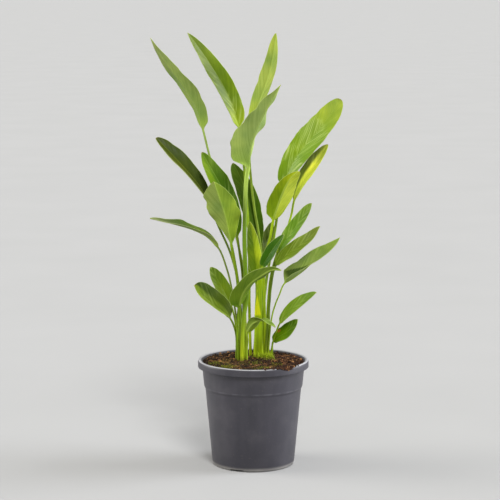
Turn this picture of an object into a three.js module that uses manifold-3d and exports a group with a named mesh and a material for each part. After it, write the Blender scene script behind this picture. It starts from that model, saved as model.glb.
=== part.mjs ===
// A young bird of paradise, the tall white-flowered kind, in a round plastic nursery pot.
// Millimetres, +Z up. The origin is the middle of the pot's base, on the surface it stands on;
// -Y is the side that faces the viewer and +X is to the viewer's right.
// Each leaf is one closed body: its stalk, its midrib and its blade, from the root end in the
// soil to the tip.

import * as THREE from 'three';
import { mergeVertices } from 'three/addons/utils/BufferGeometryUtils.js';
import Module from 'manifold-3d';

const wasm = await Module();
wasm.setup();

// ---------------------------------------------------------------- driving dimensions

const RIM_RADIUS = 95;          // outside of the rolled rim
const RIM_TOP = 182;            // height of the pot
const RIM_DEPTH = 12.5;         // height of the rim's skirt
const RIM_SKIRT = 1.8;          // thickness of the skirt
const ROLL = 3;                 // depth of the rolled edge along the rim's top
const CHAMFER = 1;              // small bevels along the pot's edges
const COLLAR_RADIUS = 87.8;     // outside of the collar, right under the rim
const COLLAR_FLARE = 0.6;       // how much wider the collar is again at the rolled edge
const COLLAR_FOOT_RADIUS = 84.6;
const COLLAR_FOOT = 137;        // height where the collar steps in to the body
const STEP_DROP = 5;            // height of that step
const BODY_RADIUS = 82.3;       // outside of the body under the step
const BASE_RADIUS = 71;         // outside of the body above its bottom corner
const CORNER_HEIGHT = 8;        // height of the rounded bottom corner
const WALL = 1.7;               // thickness of the pot's wall
const FLOOR_TOP = 6;            // height of the pot's inside floor
const FLOOR_UNDER = 3.5;        // height of the floor's underside between pad and foot ring
const PAD_RADIUS = 32;          // flat round pad in the middle of the base
const FOOT_INNER_RADIUS = 58;   // the foot ring that the pot stands on
const FOOT_OUTER_RADIUS = 68;
const POT_SIDES = 40;           // flat sides that the round pot and soil are made with

const NOTCH_WIDTH = 24;         // drain notches through the foot ring
const NOTCH_HEIGHT = 3;
const NOTCH_COUNT = 4;
const NOTCH_TURN = -24;         // degrees from the front to the first notch
const DRAIN_HOLE_RADIUS = 4.5;  // drain holes between the pad and the foot ring
const DRAIN_HOLE_COUNT = 8;
const DRAIN_HOLE_CIRCLE = 45;
const CUT_OVER = 5;             // how far a body that cuts stands out past what it cuts

const CLEARANCE = 0.3;          // between pieces that touch
const SOIL_EDGE = 178.6;        // height of the soil against the pot's wall
const SOIL_CROWN = 2.4;         // how much higher the soil is heaped in the middle
const SOIL_LUMPS = 1.4;         // height of the lumps on the soil
const SOIL_RINGS = 6;           // rings of points from the wall to the middle of its surface
const ROOT_END = 150;           // height of each stalk's buried end
const STALK_HOLE_SLACK = 0.7;   // between a stalk and the hole it stands in

const BLADE_THICKNESS = 0.8;
const TIP_HALF = 0.9;           // half of the blade's width at its very tip
const MIDRIB_TIP_HALF = 0.7;    // half width and depth of the midrib at the blade's tip
const MIDRIB_TIP_DEEP = 1.1;
const MIDRIB_BASE_HALF = 0.9;   // the same at the blade's base, as shares of the stalk's half
const MIDRIB_BASE_DEEP = 1.5;
const MARGIN_OFFSET = 1.9;      // how far the left margin's waves run ahead, in radians
const STALK_TO_BLADE = 0.08;    // share of the blade in which the stalk's section turns into it
const STALK_FLATNESS = 0.85;    // depth of a stalk's section, as a share of its width
const STALK_CHANNEL = 0.4;      // how far the channel on its upper side is sunk
const STALK_SPAN = 30;          // longest length of stalk between two sections

// Sections along the blade, as shares of its length: close together at the base and the tip.
const BLADE_SECTIONS = [0, 0.04, 0.1, 0.19, 0.3, 0.42, 0.54, 0.66, 0.78, 0.88, 0.96, 1];

const GREEN = 0x5f8a1e;
const DARK_GREEN = 0x2f5c14;
const PALE_GREEN = 0x8fa562;
const LIME = 0xa6bf2e;

// ---------------------------------------------------------------- the leaves
// path    points along the leaf, from the soil's surface to the tip
// neck    which point of the path the blade starts at
// half    half of the blade's width
// widest  where the blade is widest, as a share of its length
// face    where the upper side looks, at the blade's base and at its tip
// fold    degrees that each half of the blade is raised about the midrib, at base and tip
// stalk   half of the stalk's width at the root and at the blade
// wave    height of the waves along the margins, and how many there are
// Some leaves also state one of these:
// fullness  how pointed the blade's two ends are: 1.2 on most, and less is blunter
// lean      how much further up the right half is widest than the left, as seen from above
// uneven    how much wider the right half is than the left, as a share
// taper     how soon the stalk narrows above its root: 1.5 on most, and less is later
// flatness  depth of the stalk's section at its root, as a share of its width

const leaves = [
  {
    name: 'leaf_tall_left', colour: PALE_GREEN,
    path: [[-12, 9, 186], [-13, 10, 231], [-15, 12, 283], [-17, 18, 330], [-25, 28, 372],
      [-38, 40, 418], [-58, 52, 468], [-75, 60, 525], [-86, 64, 569], [-97, 66, 609],
      [-121, 66, 648], [-148, 62, 684], [-165, 56, 709], [-175, 50, 729]],
    neck: 8, half: 16, widest: 0.3, fullness: 1.35, face: [[0.6, 0.8, 0.3], [0.5, 0.85, 0.2]],
    fold: [24, 12], stalk: [2.4, 2], wave: [1.2, 2.5],
  },
  {
    name: 'leaf_tall_mid_left', colour: GREEN,
    path: [[-5, 33, 184], [-6, 34, 226], [-7, 36, 279], [-7, 38, 331], [-8, 40, 392],
      [-12, 42, 461], [-17, 44, 521], [-24, 42, 574], [-32, 38, 608], [-48, 30, 644],
      [-71, 20, 683], [-92, 10, 715], [-110, 0, 739]],
    neck: 7, half: 18, widest: 0.37, face: [[0.4, -0.85, 0.2], [0.3, -0.9, 0.2]], fold: [25, 12],
    stalk: [2.7, 2.3], wave: [1, 2.5],
  },
  {
    name: 'leaf_tall_centre', colour: LIME,
    path: [[9, 39, 186], [12, 40, 243], [16, 42, 295], [15, 44, 344], [9, 48, 394],
      [2, 52, 435], [-3, 55, 477], [-7, 60, 528], [-5, 66, 578], [6, 76, 610],
      [19, 90, 643], [31, 104, 682], [39, 118, 735]],
    neck: 8, half: 17, widest: 0.45, face: [[-0.7, 0.7, 0.1], [-0.6, 0.75, 0]], fold: [14, 8],
    stalk: [2.8, 2.3], wave: [0.6, 2],
  },
  {
    name: 'leaf_front_centre', colour: PALE_GREEN,
    path: [[-19, -6, 180], [-19, -6, 216], [-16, -7, 258], [-11, -8, 295], [-13, -10, 328],
      [-15, -14, 390], [-14, -17, 440], [-12, -20, 491], [-9, -22, 513], [-4, -24, 554],
      [6, -28, 581], [21, -34, 612], [34, -42, 636], [45, -50, 655]],
    neck: 8, half: 28, widest: 0.34, fullness: 1.45, lean: -0.08, uneven: 0.04,
    face: [[-0.62, 0.72, 0.3], [-0.6, 0.75, 0.3]], fold: [34, 30], stalk: [4.2, 3.8],
    wave: [3.6, 3],
  },
  {
    name: 'leaf_broad_right', colour: GREEN,
    path: [[13, 46, 187], [17, 47, 233], [19, 48, 277], [24, 50, 320], [32, 52, 364],
      [39, 55, 407], [44, 57, 442], [50, 58, 469], [62, 60, 502], [82, 64, 535],
      [112, 70, 570], [137, 78, 602], [150, 84, 623]],
    neck: 7, half: 26, widest: 0.54, fullness: 0.95, face: [[-0.5, -0.8, 0.3], [-0.4, -0.8, 0.4]],
    fold: [16, 8], stalk: [2.8, 2.4], wave: [0.8, 2],
  },
  {
    name: 'leaf_folded_right', colour: LIME,
    path: [[22, 45, 189], [24, 46, 233], [26, 46, 277], [31, 46, 321], [42, 47, 361],
      [56, 48, 394], [66, 49, 427], [70, 49, 449], [78, 50, 469], [89, 54, 488],
      [103, 60, 507], [115, 68, 524], [129, 74, 545]],
    neck: 7, half: 16, widest: 0.5, face: [[-0.3, -0.8, 0.4], [-0.3, -0.8, 0.4]], fold: [46, 36],
    stalk: [2.4, 1.9], wave: [0.5, 1.5],
  },
  {
    name: 'leaf_gold_right', colour: LIME,
    path: [[19, 37, 185], [20, 36, 235], [19, 34, 279], [18, 31, 323], [22, 27, 362],
      [29, 23, 389], [34, 18, 419], [43, 10, 449], [52, 0, 474], [63, -10, 495], [76, -16, 508]],
    neck: 6, half: 21, widest: 0.43, fullness: 1.1, lean: -0.15, uneven: -0.1,
    face: [[0.1, 0.85, 0.5], [-0.2, 0.85, 0.5]], fold: [20, 25], stalk: [2.6, 2.4],
    wave: [0.6, 2],
  },
  {
    name: 'leaf_glossy_right', colour: DARK_GREEN,
    path: [[26, 39, 186], [27, 38, 234], [28, 37, 279], [32, 34, 323], [44, 30, 363],
      [58, 26, 389], [73, 21, 410], [87, 16, 431], [99, 11, 450]],
    neck: 4, half: 13.5, widest: 0.5, face: [[-0.5, -0.75, 0.4], [-0.4, -0.75, 0.5]], fold: [18, 10],
    stalk: [2.2, 1.8], wave: [0.8, 2],
  },
  {
    name: 'leaf_sheath', colour: LIME,
    path: [[9, 27, 182], [9, 27, 228], [9, 26, 272], [11, 24, 307], [15, 21, 337],
      [25, 16, 358], [38, 10, 378], [52, 4, 397]],
    neck: 4, half: 11, widest: 0.45, face: [[-0.2, -0.9, 0.3], [-0.4, -0.75, 0.5]], fold: [20, 12],
    stalk: [9, 2.4], taper: 0.5, flatness: 0.5, wave: [0.5, 1.5],
  },
  {
    name: 'leaf_olive_right', colour: GREEN,
    path: [[21, 31, 183], [25, 30, 236], [28, 28, 275], [31, 24, 307], [38, 17, 341],
      [52, 8, 358], [74, -2, 376], [96, -13, 395], [112, -24, 415]],
    neck: 4, half: 14.5, widest: 0.4, face: [[-0.35, -0.7, 0.6], [-0.3, -0.7, 0.6]], fold: [18, 12],
    stalk: [2.2, 1.8], wave: [0.8, 2],
  },
  {
    name: 'leaf_boat_right', colour: PALE_GREEN,
    path: [[26, 31, 184], [29, 31, 227], [33, 30, 255], [39, 29, 275], [45, 27, 290],
      [53, 24, 309], [69, 20, 321], [87, 12, 336], [106, 4, 355], [127, -8, 375], [146, -18, 395]],
    neck: 5, half: 20, widest: 0.32, lean: 0.12, uneven: -0.2,
    face: [[-0.5, -0.15, 0.85], [-0.45, -0.75, 0.5]], fold: [50, 8], stalk: [1.9, 1.7],
    wave: [0.6, 1.5],
  },
  {
    name: 'leaf_cupped_left', colour: DARK_GREEN,
    path: [[-28, 1, 185], [-28, 0, 206], [-31, -4, 233], [-39, -10, 254], [-53, -18, 269],
      [-73, -27, 286], [-88, -34, 302], [-99, -40, 317]],
    neck: 3, half: 24, widest: 0.6, fullness: 0.85, lean: -0.08,
    face: [[0.5, -0.55, 0.65], [0.5, -0.55, 0.65]], fold: [38, 25], stalk: [2, 1.8],
    wave: [0.8, 1.5],
  },
  {
    name: 'leaf_small_left', colour: GREEN,
    path: [[-29, 7, 188], [-29, 7, 214], [-31, 6, 245], [-37, 4, 272], [-49, 2, 298],
      [-62, -1, 322], [-73, -4, 342]],
    neck: 3, half: 14.5, widest: 0.5, face: [[0.4, -0.8, 0.3], [0.4, -0.8, 0.3]], fold: [15, 10],
    stalk: [1.9, 1.6], wave: [0.5, 1.5],
  },
  {
    name: 'leaf_arching_left', colour: PALE_GREEN,
    path: [[-24, 9, 187], [-25, 10, 222], [-31, 12, 265], [-38, 14, 308], [-45, 14, 336],
      [-58, 12, 371], [-76, 8, 393], [-99, 2, 406], [-128, -6, 416], [-153, -14, 423],
      [-174, -22, 429]],
    neck: 5, half: 10.5, widest: 0.4, face: [[0.6, 0.1, 0.8], [0.2, -0.45, 0.85]], fold: [32, 15],
    stalk: [2.4, 2.1], wave: [1, 1.5],
  },
  {
    name: 'leaf_crossing_front', colour: GREEN,
    path: [[-26, -6, 181], [-27, -8, 216], [-27, -14, 249], [-25, -23, 274], [-19, -35, 300],
      [-6, -45, 320], [13, -51, 335], [31, -53, 345], [47, -53, 345]],
    neck: 3, half: 20, widest: 0.32, face: [[-0.5, 0.5, 0.65], [-0.1, 0.7, 0.7]], fold: [22, 20],
    stalk: [2, 2], wave: [1, 2],
  },
  {
    name: 'leaf_upper_left', colour: DARK_GREEN,
    path: [[-18, 10, 189], [-19, 11, 231], [-22, 15, 273], [-27, 22, 316], [-40, 32, 363],
      [-61, 42, 409], [-76, 50, 446], [-89, 54, 470], [-108, 58, 494], [-131, 62, 519],
      [-151, 66, 540], [-168, 70, 557]],
    neck: 6, half: 18, widest: 0.55, face: [[0.35, -0.6, 0.7], [0.35, -0.6, 0.7]], fold: [34, 22],
    stalk: [2.3, 1.9], wave: [0.8, 2],
  },
  {
    name: 'leaf_glossy_left', colour: DARK_GREEN,
    path: [[-15, 2, 183], [-16, 2, 223], [-17, 4, 275], [-19, 8, 332], [-23, 11, 361],
      [-27, 15, 390], [-35, 20, 430], [-51, 27, 470], [-70, 34, 504], [-88, 38, 535]],
    neck: 5, half: 18, widest: 0.5, face: [[0.3, -0.9, 0.2], [0.3, -0.9, 0.2]], fold: [14, 12],
    stalk: [2.4, 2], wave: [0.6, 2],
  },
  {
    name: 'leaf_pale_front', colour: PALE_GREEN,
    path: [[-21, 2, 185], [-22, 1, 224], [-24, -1, 276], [-27, -4, 320], [-32, -7, 352],
      [-37, -11, 380], [-42, -16, 404], [-49, -23, 436], [-58, -30, 465], [-66, -36, 492]],
    neck: 5, half: 26, widest: 0.6, fullness: 2, lean: 0.08,
    face: [[-0.1, 0.95, 0.2], [-0.1, 0.95, 0.2]], fold: [12, 6], stalk: [2.9, 2.6],
    wave: [2.2, 3],
  },
  {
    name: 'leaf_dark_back', colour: DARK_GREEN,
    path: [[2, 47, 188], [5, 48, 232], [7, 50, 276], [9, 53, 320], [6, 56, 363], [2, 60, 401],
      [-6, 65, 441], [-15, 69, 472], [-26, 72, 496], [-35, 74, 513]],
    neck: 4, half: 18, widest: 0.5, lean: -0.1, face: [[0.2, -0.95, 0], [0.2, -0.95, 0]], fold: [14, 10],
    stalk: [2.3, 1.9], wave: [0.5, 1.5],
  },
  {
    name: 'leaf_young_lime', colour: LIME,
    path: [[4, 36, 185], [5, 36, 226], [6, 35, 270], [6, 34, 305], [6, 33, 332], [3, 31, 360],
      [-1, 30, 388], [-6, 30, 416]],
    neck: 3, half: 14, widest: 0.45, face: [[-0.2, -0.95, 0.2], [-0.2, -0.95, 0.2]], fold: [32, 25],
    stalk: [2.6, 2.4], wave: [0, 1],
  },
  {
    name: 'leaf_low_right', colour: GREEN,
    path: [[31, 32, 183], [33, 32, 200], [38, 30, 218], [45, 26, 238], [56, 20, 255],
      [72, 12, 272], [89, 2, 286], [107, -10, 300]],
    neck: 3, half: 13.5, widest: 0.45, face: [[-0.4, -0.6, 0.7], [-0.4, -0.6, 0.7]], fold: [16, 10],
    stalk: [1.8, 1.6], wave: [0.4, 1.5],
  },
  {
    name: 'leaf_dark_low_right', colour: DARK_GREEN,
    path: [[33, 40, 186], [33, 40, 197], [34, 38, 204], [43, 33, 214], [58, 25, 225],
      [68, 18, 236], [76, 10, 249]],
    neck: 2, half: 14, widest: 0.45, face: [[-0.3, -0.75, 0.6], [-0.3, -0.75, 0.6]], fold: [18, 10],
    stalk: [1.8, 1.6], wave: [0.6, 1.5],
  },
  {
    name: 'leaf_twisted_front', colour: PALE_GREEN,
    path: [[-11, -7, 180], [-11, -9, 199], [-10, -12, 216], [-10, -17, 231], [0, -25, 249],
      [15, -31, 256], [27, -35, 251], [38, -38, 245]],
    neck: 3, half: 10, widest: 0.4, face: [[0.4, 0.8, 0.4], [0.2, -0.5, 0.85]], fold: [25, 15],
    stalk: [2, 1.8], wave: [0.4, 1],
  },
  {
    name: 'leaf_olive_back', colour: GREEN,
    path: [[11, 54, 192], [13, 55, 240], [14, 58, 284], [15, 62, 331], [19, 68, 358],
      [26, 78, 383], [33, 88, 408]],
    neck: 3, half: 12, widest: 0.5, face: [[-0.3, -0.9, 0.3], [-0.3, -0.9, 0.3]], fold: [15, 10],
    stalk: [2.2, 1.8], wave: [0.4, 1.5],
  },
];

// ---------------------------------------------------------------- helpers

const mix = (a, b, t) => a + (b - a) * t;

function smooth(t) {
  const s = THREE.MathUtils.clamp(t, 0, 1);
  return s * s * (3 - 2 * s);
}

// A closed mesh with its shared corners merged, as a solid.
function solidOf(geometry) {
  const bare = geometry.clone();
  bare.deleteAttribute('normal');
  bare.deleteAttribute('uv');
  const merged = mergeVertices(bare, 1e-4);
  return new wasm.Manifold(new wasm.Mesh({
    numProp: 3,
    vertProperties: new Float32Array(merged.attributes.position.array),
    triVerts: new Uint32Array(merged.index.array),
  }));
}

function geometryOf(solid) {
  const mesh = solid.getMesh();
  const geometry = new THREE.BufferGeometry();
  const positions = new Float32Array(mesh.numVert * 3);
  for (let i = 0; i < mesh.numVert; i += 1) {
    for (let k = 0; k < 3; k += 1) {
      positions[3 * i + k] = mesh.vertProperties[mesh.numProp * i + k];
    }
  }
  geometry.setAttribute('position', new THREE.BufferAttribute(positions, 3));
  geometry.setIndex(new THREE.BufferAttribute(new Uint32Array(mesh.triVerts), 1));
  geometry.computeVertexNormals();
  return geometry;
}

// An upright post on the Z axis, between two heights: a round or an oval of the given half
// widths, with its flat sides touching it from outside.
function post(halfX, halfY, low, high) {
  const sides = 12;
  const outside = 1 / Math.cos(Math.PI / sides);
  const geometry = new THREE.CylinderGeometry(outside, outside, high - low, sides);
  geometry.rotateX(Math.PI / 2);
  geometry.scale(halfX, halfY, 1);
  geometry.translate(0, 0, (low + high) / 2);
  return geometry;
}

// A profile of [radius, height] points, turned about the Z axis.
function turned(profile) {
  const points = profile.map(([r, z]) => new THREE.Vector2(r, z));
  const lathe = new THREE.LatheGeometry(points, POT_SIDES);
  lathe.rotateX(Math.PI / 2);
  return lathe;
}

function material(colour, roughness) {
  return new THREE.MeshStandardMaterial({ color: colour, roughness, metalness: 0 });
}

// ---------------------------------------------------------------- one leaf

// The leaf's course: straight up out of the ground, then through the points of its path.
function spineOf(leaf) {
  const [x, y, z] = leaf.path[0];
  const buried = [[x, y, ROOT_END], [x, y, mix(ROOT_END, z, 0.5)]];
  const points = [...buried, ...leaf.path].map((p) => new THREE.Vector3(...p));
  const curve = new THREE.CatmullRomCurve3(points, false, 'centripetal');
  curve.arcLengthDivisions = 40 * (points.length - 1);
  const lengths = curve.getLengths();
  const total = lengths[lengths.length - 1];
  const neck = lengths[40 * (leaf.neck + buried.length)] / total;
  return { curve, total, neck };
}

// The shape of the blade's margin: the share of its half width at the share t of its length.
// It rises as a root of t, is fullest at the widest point and closes as a root of 1 - t.
function outline(t, widest, fullness = 1.2) {
  const rise = fullness * widest;
  const close = fullness * (1 - widest);
  const peak = widest ** rise * (1 - widest) ** close;
  return (t ** rise * (1 - t) ** close) / peak;
}

// One section of the leaf: five points over the upper side and five under the lower side,
// both from one margin to the other. On the stalk the ten points are a channelled oval; on the
// blade they are a thin plate, folded up about a midrib that stands out below.
function sectionOf(leaf, spine, share) {
  const centre = spine.curve.getPointAt(share);
  const along = spine.curve.getTangentAt(share);
  const blade = THREE.MathUtils.clamp((share - spine.neck) / (1 - spine.neck), 0, 1);
  const stem = THREE.MathUtils.clamp(share / spine.neck, 0, 1);

  const base = new THREE.Vector3(...leaf.face[0]).normalize();
  const tip = new THREE.Vector3(...leaf.face[1]).normalize();
  const up = base.lerp(tip, smooth(blade));
  up.addScaledVector(along, -up.dot(along)).normalize();
  const side = new THREE.Vector3().crossVectors(along, up);

  const [rootHalf, neckHalf] = leaf.stalk;
  const stalkHalf = mix(neckHalf, rootHalf, (1 - stem) ** (leaf.taper ?? 1.5));
  const flatness = mix(STALK_FLATNESS, leaf.flatness ?? STALK_FLATNESS, (1 - stem) ** 0.5);
  const stalkDeep = stalkHalf * flatness;

  const fold = THREE.MathUtils.degToRad(mix(leaf.fold[0], leaf.fold[1], blade));
  const rib = mix(neckHalf * MIDRIB_BASE_HALF, MIDRIB_TIP_HALF, blade ** 0.5);
  const ribDeep = mix(neckHalf * MIDRIB_BASE_DEEP, MIDRIB_TIP_DEEP, blade ** 0.6);
  const [waveHeight, waveCount] = leaf.wave;
  const swell = waveHeight * Math.sin(Math.PI * blade);
  const toBlade = smooth(blade / STALK_TO_BLADE);

  // sign is -1 for the left half and +1 for the right half.
  const reach = (sign) => {
    const widest = leaf.widest + sign * (leaf.lean ?? 0);
    const half = leaf.half * (1 + sign * (leaf.uneven ?? 0));
    return Math.max(half * outline(blade, widest, leaf.fullness), rib + 0.2);
  };
  const atTip = blade > 0.999;
  const ribReach = atTip ? TIP_HALF / 2 : rib;

  const place = (across, above) => centre.clone()
    .addScaledVector(side, across)
    .addScaledVector(up, above);

  const stalkPoint = (degrees) => {
    const angle = THREE.MathUtils.degToRad(degrees);
    const channel = degrees === 90 ? 1 - STALK_CHANNEL : 1;
    return place(Math.cos(angle) * stalkHalf, Math.sin(angle) * stalkDeep * channel);
  };

  // out is the distance from the midrib, and thick is how far below the upper side it lies.
  const bladePoint = (sign, out, thick, lift) => place(
    sign * (out * Math.cos(fold) + thick * Math.sin(fold)),
    out * Math.sin(fold) - thick * Math.cos(fold) + lift,
  );

  const ring = [];
  for (const below of [false, true]) {
    const thick = below ? BLADE_THICKNESS : 0;
    const turns = below ? [-162, -126, -90, -54, -18] : [162, 126, 90, 54, 18];
    const margins = [-1, 1].map((sign) => {
      const phase = 2 * Math.PI * waveCount * blade + (sign > 0 ? 0 : MARGIN_OFFSET);
      return bladePoint(sign, atTip ? TIP_HALF : reach(sign), thick, swell * Math.sin(phase));
    });
    const plate = [
      margins[0],
      bladePoint(-1, ribReach, thick, 0),
      place(0, below ? -ribDeep : 0),
      bladePoint(1, ribReach, thick, 0),
      margins[1],
    ];
    ring.push(turns.map((degrees, k) => stalkPoint(degrees).lerp(plate[k], toBlade)));
  }
  return ring;
}

// The closed skin over all the sections. Both faces of the blade are split into triangles
// alike, and the two ends are closed by strips between the upper and the lower points.
function leafGeometry(leaf) {
  const spine = spineOf(leaf);
  const stalkSpans = Math.max(4, Math.round((spine.total * spine.neck) / STALK_SPAN));
  const shares = [];
  for (let i = 0; i < stalkSpans; i += 1) {
    shares.push((spine.neck * i) / stalkSpans);
  }
  for (const t of BLADE_SECTIONS) {
    shares.push(mix(spine.neck, 1, t));
  }
  const across = 5;
  const positions = [];
  for (const share of shares) {
    for (const row of sectionOf(leaf, spine, share)) {
      for (const point of row) {
        positions.push(point.x, point.y, point.z);
      }
    }
  }
  const index = [];
  const corner = (section, below, k) => (2 * section + (below ? 1 : 0)) * across + k;
  const quad = (a, b, c, d) => index.push(a, b, c, a, c, d);
  const last = shares.length - 1;
  for (let s = 0; s < last; s += 1) {
    for (let k = 0; k < across - 1; k += 1) {
      quad(corner(s, false, k), corner(s, false, k + 1),
        corner(s + 1, false, k + 1), corner(s + 1, false, k));
      index.push(corner(s, true, k), corner(s + 1, true, k + 1), corner(s, true, k + 1));
      index.push(corner(s, true, k), corner(s + 1, true, k), corner(s + 1, true, k + 1));
    }
    quad(corner(s, true, 0), corner(s, false, 0), corner(s + 1, false, 0), corner(s + 1, true, 0));
    quad(corner(s, false, 4), corner(s, true, 4), corner(s + 1, true, 4), corner(s + 1, false, 4));
  }
  for (let k = 0; k < across - 1; k += 1) {
    quad(corner(0, false, k), corner(0, true, k), corner(0, true, k + 1), corner(0, false, k + 1));
    quad(corner(last, false, k + 1), corner(last, true, k + 1),
      corner(last, true, k), corner(last, false, k));
  }
  const geometry = new THREE.BufferGeometry();
  geometry.setAttribute('position', new THREE.Float32BufferAttribute(positions, 3));
  geometry.setIndex(index);
  geometry.computeVertexNormals();
  return geometry;
}

// ---------------------------------------------------------------- the pot

// The pot turned about its axis, with drain notches through its foot ring and drain holes
// through its floor.
function potGeometry() {
  const skirtFoot = RIM_TOP - RIM_DEPTH;
  const skirtInner = RIM_RADIUS - RIM_SKIRT;
  const mouth = COLLAR_RADIUS + COLLAR_FLARE;
  const profile = [
    // the base: the pad, the recess, the foot ring and the corner up to the body
    [0, 0],
    [PAD_RADIUS, 0],
    [PAD_RADIUS + CHAMFER, FLOOR_UNDER],
    [FOOT_INNER_RADIUS - CHAMFER, FLOOR_UNDER],
    [FOOT_INNER_RADIUS, 0],
    [FOOT_OUTER_RADIUS, 0],
    [FOOT_OUTER_RADIUS + CHAMFER, CHAMFER],
    [FOOT_OUTER_RADIUS + 2 * CHAMFER, FLOOR_UNDER],
    [BASE_RADIUS, CORNER_HEIGHT],
    // the outside of the body and the collar
    [BODY_RADIUS, COLLAR_FOOT - STEP_DROP],
    [COLLAR_FOOT_RADIUS, COLLAR_FOOT],
    [COLLAR_RADIUS, skirtFoot],
    // up behind the skirt, down to its foot, and up its outside and over the rolled edge
    [mouth, RIM_TOP - ROLL - 2 * CHAMFER],
    [skirtInner - CHAMFER, RIM_TOP - ROLL],
    [skirtInner, RIM_TOP - ROLL - CHAMFER],
    [skirtInner, skirtFoot + CHAMFER],
    [RIM_RADIUS - CHAMFER, skirtFoot],
    [RIM_RADIUS, skirtFoot + CHAMFER],
    [RIM_RADIUS, RIM_TOP - ROLL],
    [RIM_RADIUS - CHAMFER, RIM_TOP - CHAMFER],
    [RIM_RADIUS - ROLL, RIM_TOP],
    [RIM_RADIUS - ROLL - 2 * CHAMFER, RIM_TOP],
    // the inside, down to the floor
    [mouth - WALL, RIM_TOP - ROLL],
    [COLLAR_RADIUS - WALL, skirtFoot],
    [COLLAR_FOOT_RADIUS - WALL, COLLAR_FOOT + CHAMFER],
    [BODY_RADIUS - WALL, COLLAR_FOOT - STEP_DROP],
    [BASE_RADIUS - WALL, CORNER_HEIGHT + 3 * CHAMFER],
    [BASE_RADIUS - WALL - 2 * CHAMFER, FLOOR_TOP],
    [0, FLOOR_TOP],
  ];
  const lathe = turned(profile);
  let pot = solidOf(lathe);

  const notchMiddle = (FOOT_INNER_RADIUS + BASE_RADIUS) / 2;
  for (let i = 0; i < NOTCH_COUNT; i += 1) {
    const length = BASE_RADIUS - FOOT_INNER_RADIUS + 2 * CUT_OVER;
    const notch = new THREE.BoxGeometry(NOTCH_WIDTH, length, 2 * NOTCH_HEIGHT);
    notch.translate(0, -notchMiddle, 0);
    notch.rotateZ(THREE.MathUtils.degToRad(NOTCH_TURN + (360 / NOTCH_COUNT) * i));
    pot = pot.subtract(solidOf(notch));
  }
  for (let i = 0; i < DRAIN_HOLE_COUNT; i += 1) {
    const hole = post(DRAIN_HOLE_RADIUS, DRAIN_HOLE_RADIUS, -CUT_OVER, FLOOR_TOP + CUT_OVER);
    hole.translate(DRAIN_HOLE_CIRCLE, 0, 0);
    hole.rotateZ((2 * Math.PI * (i + 0.5)) / DRAIN_HOLE_COUNT);
    pot = pot.subtract(solidOf(hole));
  }
  return geometryOf(pot);
}

// ---------------------------------------------------------------- the soil

// Height of the soil's surface: heaped in the middle, with lumps that fade out at the wall.
function soilHeight(x, y, edge) {
  const out = Math.hypot(x, y) / edge;
  const heap = SOIL_CROWN * (1 - smooth(out));
  const lumps = Math.sin(x / 9 + 1.3 * Math.sin(y / 13)) * Math.cos(y / 8 + Math.sin(x / 17));
  return SOIL_EDGE + heap + SOIL_LUMPS * lumps * (1 - out ** 4);
}

// The root ball fills the pot up to its rim. Every stalk stands in a plain hole in it.
function soilGeometry() {
  const skin = WALL + CLEARANCE;
  const edge = COLLAR_RADIUS - skin;
  const profile = [
    [0, FLOOR_TOP + CLEARANCE],
    [BASE_RADIUS - skin - 2 * CHAMFER, FLOOR_TOP + CLEARANCE],
    [BASE_RADIUS - skin, CORNER_HEIGHT + 3 * CHAMFER],
    [BODY_RADIUS - skin, COLLAR_FOOT - STEP_DROP],
    [COLLAR_FOOT_RADIUS - skin, COLLAR_FOOT + CHAMFER],
    [edge, RIM_TOP - RIM_DEPTH],
  ];
  for (let k = 0; k <= SOIL_RINGS; k += 1) {
    profile.push([edge * (1 - k / SOIL_RINGS), SOIL_EDGE]);
  }
  const lathe = turned(profile);
  const position = lathe.attributes.position;
  for (let i = 0; i < position.count; i += 1) {
    if (position.getZ(i) > SOIL_EDGE - 0.01) {
      position.setZ(i, soilHeight(position.getX(i), position.getY(i), edge));
    }
  }
  let soil = solidOf(lathe);
  for (const leaf of leaves) {
    const [x, y] = leaf.path[0];
    const half = leaf.stalk[0] + STALK_HOLE_SLACK;
    const deep = leaf.stalk[0] * (leaf.flatness ?? STALK_FLATNESS) + STALK_HOLE_SLACK;
    const hole = post(half, deep, ROOT_END - CLEARANCE, RIM_TOP + CUT_OVER);
    hole.rotateZ(Math.atan2(leaf.face[0][1], leaf.face[0][0]) + Math.PI / 2);
    hole.translate(x, y, 0);
    soil = soil.subtract(solidOf(hole));
  }
  return geometryOf(soil);
}

// ---------------------------------------------------------------- the whole plant

const plant = new THREE.Group();

function add(name, geometry, finish) {
  const mesh = new THREE.Mesh(geometry, finish);
  mesh.name = name;
  plant.add(mesh);
}

add('pot', potGeometry(), material(0x4d4d55, 0.55));
add('soil', soilGeometry(), material(0x4a3220, 0.95));
for (const leaf of leaves) {
  add(leaf.name, leafGeometry(leaf), material(leaf.colour, 0.45));
}

export default plant;
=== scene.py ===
# %% [markdown]
# # A potted bird of paradise
#
# A young bird of paradise, the tall kind that is grown for its leaves, stands in a round
# nursery pot. Two dozen leaves rise on long stalks from one clump. A leaf is one piece from
# its root end to its tip: a stalk, a midrib that carries on from it, and two thin halves that
# fold up along the midrib. The pot is a moulded one of dark grey plastic, and the soil in it is
# peat, with crumbs, fibres and a little moss on top.
#
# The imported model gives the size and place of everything. Each piece made here lies where
# one of its nodes does, and hides that node.

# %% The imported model
import math

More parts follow.
